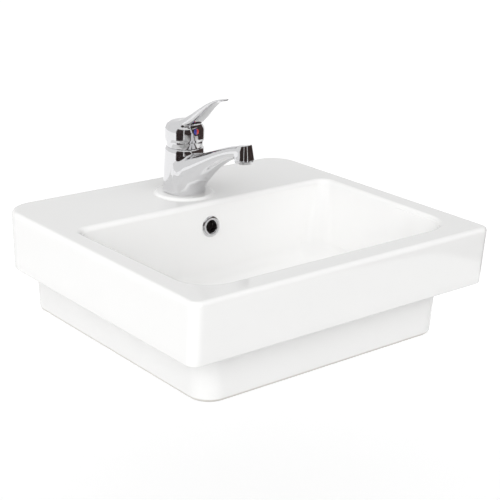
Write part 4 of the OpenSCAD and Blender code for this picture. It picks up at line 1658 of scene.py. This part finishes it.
@dataclass
class Fixings:
    """Threaded stud, base gasket and aerator insert."""

    tap_y: float = 137.4
    stud_y: float = 11.0
    stud_r: float = 4.0
    stud_bottom: float = 10.0
    stud_top: float = 103.4
    stud_pitch: float = 1.25
    stud_depth: float = 0.65
    stud_run_out: float = 1.2
    gasket_r: float = 27.4
    gasket_w: float = 3.3
    land_z: float = 85.0
    nose_y: float = 2.0
    insert_r: float = 9.55
    insert_z: float = 159.3
    insert_top: float = 171.5
    insert_wall: float = 1.15
    mesh_bar_w: float = 0.6
    mesh_bar_h: float = 2.4
    mesh_spacing: float = 2.2

    def stud(self) -> bpy.types.Object:
        """The stud with its metric thread.

        Returns:
            The stud.
        """
        item = ThreadGrower().grow("threaded_stud", {
            "Crest Radius": self.stud_r, "Thread Depth": self.stud_depth, "Pitch": self.stud_pitch,
            "Bottom": self.stud_bottom, "Top": self.stud_top, "Run Out": self.stud_run_out}, ZINC.build())
        shifted(item, 0, self.tap_y + self.stud_y, 0)
        return dress(item, Slot.STEEL, "base", ["fixing_stud"])

    def gasket(self) -> bpy.types.Object:
        """The ring under the mixer's base, slightly barrelled by the load.

        Returns:
            The ring.
        """
        r, w, z = self.gasket_r, self.gasket_w, self.land_z
        rows = [[r - w, z + 0.1], [r - w + 0.4, z], [r - 0.3, z], [r, z + 0.15], [r + 0.05, z + 0.5],
                [r, z + 1.0], [r - 0.3, z + 1.65], [r - w + 0.4, z + 1.7], [r - w, z + 1.5]]
        item = turned("base_ring", rows, self.tap_y, 128)
        return dress(item, Slot.RUBBER, "base", ["base_gasket"])

    def insert(self) -> bpy.types.Object:
        """The aerator's grid.

        Returns:
            The insert.
        """
        item = MeshGrower().grow("aerator_mesh", {
            "Bore Radius": self.insert_r - self.insert_wall - 0.05, "Wall": self.insert_wall,
            "Height": self.insert_top - self.insert_z, "Bar Width": self.mesh_bar_w,
            "Bar Height": self.mesh_bar_h, "Spacing": self.mesh_spacing}, WHITE_ACETAL.build())
        shifted(item, 0, self.nose_y, self.insert_z)
        return dress(item, Slot.WHITE_PLASTIC, "base", ["aerator_insert"])

    def build(self) -> None:
        """Make the fixings."""
        self.stud()
        self.gasket()
        self.insert()


# Carried-over pieces


@dataclass
class InnerParts:
    """CAD nodes that keep their own mesh and get a finish and soft edges."""

    skipped: Sequence[str] = ("basin", "mixer_body", "trim_collar", "aerator_housing", "lever_handle",
                              "indicator_plug", "overflow_ring", "waste_body", "waste_plug", "backnut",
                              "fixing_stud", "base_gasket", "aerator_insert")
    edge: float = 0.25
    sharp_from: float = 40.0
    weld: float = 2e-6

    def build(self) -> None:
        """Dress each node by the record's slot."""
        count = 0
        for part in frame["record"]["subparts"]:
            node = part["node"]
            if node in self.skipped:
                continue
            item = frame["nodes"][node]
            finish = FINISH_OF_SLOT[Slot(part["material_slot"])].build()
            item.data.materials.clear()
            item.data.materials.append(finish)
            weld = item.modifiers.new("weld", "WELD")
            weld.merge_threshold = self.weld
            bevel = item.modifiers.new("soft_edges", "BEVEL")
            bevel.width = self.edge * MM
            bevel.segments = 2
            bevel.limit_method = "ANGLE"
            bevel.angle_limit = math.radians(self.sharp_from)
            count += 1
        LOG.info("dressed %d carried-over nodes", count)


# Studio


@dataclass
class Studio:
    """Camera, world, floor, lamp and dark backdrop."""

    camera_at: Point = (-1054.4, -1303.0, 618.2)
    yaw: float = 39.32
    pitch: float = -19.23
    roll: float = 1.53
    focal_px: float = 1287.5
    picture_px: float = 500.0
    sensor_mm: float = 36.0
    floor_z: float = -600.0
    floor_reach: float = 9000.0
    floor_grey: float = 0.74
    even_level: float = 0.12
    lobes: tuple[tuple[float, float, float], ...] = (
        (-90.0, 34.0, 1.75), (-140.0, 34.0, 2.4), (165.0, 34.0, 1.75), (0.0, 12.0, 0.75),
        (-110.0, 5.0, 0.35), (0.0, 90.0, 0.15))
    lobe_power: float = 6.0
    floor_lift: float = 0.42
    curtain_near: float = 1800.0
    curtain_far: float = 2600.0
    curtain_top: float = 2400.0
    curtain_colour: Point = (0.05, 0.03, 0.028)
    curtain_panels: tuple[tuple[str, float, float], ...] = (
        ("left", 180, 224), ("middle", 229, 268), ("right", 275, 375))
    softbox_at: Point = (-1500, -100, 420)
    softbox_size: tuple[float, float] = (1.3, 1.0)
    softbox_power: float = 2.5

    def camera(self) -> None:
        """Set the camera to the photograph's view."""
        yaw, pitch, roll = (math.radians(v) for v in (self.yaw, self.pitch, self.roll))
        ahead = Vector((math.sin(yaw) * math.cos(pitch), math.cos(yaw) * math.cos(pitch), math.sin(pitch)))
        right = Vector((math.cos(yaw), -math.sin(yaw), 0))
        up = right.cross(ahead)
        side = right * math.cos(roll) + up * math.sin(roll)
        over = up * math.cos(roll) - right * math.sin(roll)
        data = bpy.data.cameras.new("camera")
        data.sensor_width = self.sensor_mm
        data.lens = self.sensor_mm * self.focal_px / self.picture_px
        data.clip_start, data.clip_end = 0.05, 50.0
        item = bpy.data.objects.new("camera", data)
        item.matrix_world = Matrix((
            (side.x, over.x, -ahead.x, self.camera_at[0] * MM),
            (side.y, over.y, -ahead.y, self.camera_at[1] * MM),
            (side.z, over.z, -ahead.z, self.camera_at[2] * MM),
            (0, 0, 0, 1)))
        bpy.context.scene.collection.objects.link(item)
        bpy.context.scene.camera = item

    def white_seen(self, sheet: NodeSheet) -> bpy.types.NodeSocket:
        """Find the rays that see the background: camera, mirror and glass rays.

        Args:
            sheet: the node sheet of the world or the floor.

        Returns:
            A socket that is 1 for those rays.
        """
        rays = sheet.add("ShaderNodeLightPath").outputs
        seen = sheet.math("MAXIMUM", rays["Is Camera Ray"], rays["Is Transmission Ray"])
        return sheet.math("MAXIMUM", seen, rays["Is Glossy Ray"])

    def world(self) -> None:
        """A soft world: an even level and broad lobes of light, plain white to camera and mirrors.

        Each lobe has its direction, clockwise from +Y and above the horizon, and its strength.
        """
        world = bpy.data.worlds.new("studio")
        bpy.context.scene.world = world
        world.use_nodes = True
        sheet = NodeSheet(world.node_tree)
        world.node_tree.nodes.clear()
        place = sheet.add("ShaderNodeTexCoord").outputs["Generated"]
        total: float | bpy.types.NodeSocket = self.even_level
        for azimuth, elevation, strength in self.lobes:
            a, e = math.radians(azimuth), math.radians(elevation)
            way = (math.sin(a) * math.cos(e), math.cos(a) * math.cos(e), math.sin(e))
            facing = sheet.add("ShaderNodeVectorMath", {0: place, 1: way}, operation="DOT_PRODUCT")
            front = sheet.math("MAXIMUM", facing.outputs["Value"], 0.0)
            lobe = sheet.math("POWER", front, self.lobe_power)
            total = sheet.math("MULTIPLY_ADD", lobe, strength, total)
        level = sheet.add("ShaderNodeMix", {0: self.white_seen(sheet), 2: total, 3: 1.0}, data_type="FLOAT")
        light = sheet.add("ShaderNodeBackground", {"Strength": level.outputs[0]})
        sheet.add("ShaderNodeOutputWorld", {"Surface": light.outputs["Background"]})

    def floor(self) -> None:
        """A pale floor that keeps the object's shadow."""
        r, h = self.floor_reach, self.floor_z
        corners = np.array([[-r, -r, h], [r, -r, h], [r, r, h], [-r, r, h]])
        item = mesh_object("floor", corners, [(0, 1, 2, 3)])
        material, sheet, shader = new_material("pale_floor")
        sheet.fill(shader, {
            "Base Color": (self.floor_grey, self.floor_grey, self.floor_grey, 1), "Roughness": 1.0,
            "Specular IOR Level": 0.0, "Emission Color": (1, 1, 1, 1),
            "Emission Strength": sheet.math("MULTIPLY", self.white_seen(sheet), self.floor_lift)})
        item.data.materials.append(material)

    def curtain(self, name: str, first: float, last: float) -> None:
        """Make a panel of dark backdrop on the camera's side that only mirrors see.

        It lies on the floor from the near distance to the far one and stands up from there.

        Args:
            name: its name.
            first, last: where it starts and ends, in degrees anticlockwise from +X.
        """
        near, far, low = self.curtain_near, self.curtain_far, self.floor_z + 1
        outline = [[near, low], [far, low], [far, self.curtain_top]]
        turns = np.radians(np.linspace(first, last, 30))
        n = len(turns)
        points = [[r * math.cos(a), r * math.sin(a), z] for r, z in outline for a in turns]
        faces = [(j * n + k, j * n + k + 1, (j + 1) * n + k + 1, (j + 1) * n + k)
                 for j in range(len(outline) - 1) for k in range(n - 1)]
        item = mesh_object(name, np.array(points), faces)
        material, sheet, shader = new_material(name)
        sheet.fill(shader, {"Base Color": (*self.curtain_colour, 1), "Roughness": 0.9})
        item.data.materials.append(material)
        item.visible_camera = False
        item.visible_diffuse = False
        item.visible_shadow = False
        item.visible_transmission = False

    def lamp(self, name: str, place: Point, size: tuple[float, float], power: float) -> None:
        """Add a soft lamp that points at the basin.

        Args:
            name: its name.
            place: where it hangs, in millimetres.
            size: its width and height in metres.
            power: its power in watts.
        """
        data = bpy.data.lights.new(name, "AREA")
        data.shape = "RECTANGLE"
        data.size, data.size_y = size
        data.energy = power
        item = bpy.data.objects.new(name, data)
        at = Vector(place) * MM
        item.location = at
        item.visible_glossy = False
        item.rotation_mode = "QUATERNION"
        item.rotation_quaternion = (Vector((0, 0, 0.05)) - at).to_track_quat("-Z", "Y")
        bpy.context.scene.collection.objects.link(item)

    def build(self) -> None:
        """Set up the studio."""
        bpy.context.scene.view_settings.view_transform = "Standard"
        self.camera()
        self.world()
        self.floor()
        self.lamp("left_softbox", self.softbox_at, self.softbox_size, self.softbox_power)
        for name, first, last in self.curtain_panels:
            self.curtain("dark_curtain_" + name, first, last)


def main() -> None:
    """Build every piece in order."""
    logging.basicConfig(level=logging.INFO, format="%(message)s")
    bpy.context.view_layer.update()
    Studio().build()
    BasinCasting().build()
    Overflow().build()
    Mixer().build()
    Handle().build()
    Waste().build()
    Fixings().build()
    InnerParts().build()


if __name__ == "__main__":
    main()
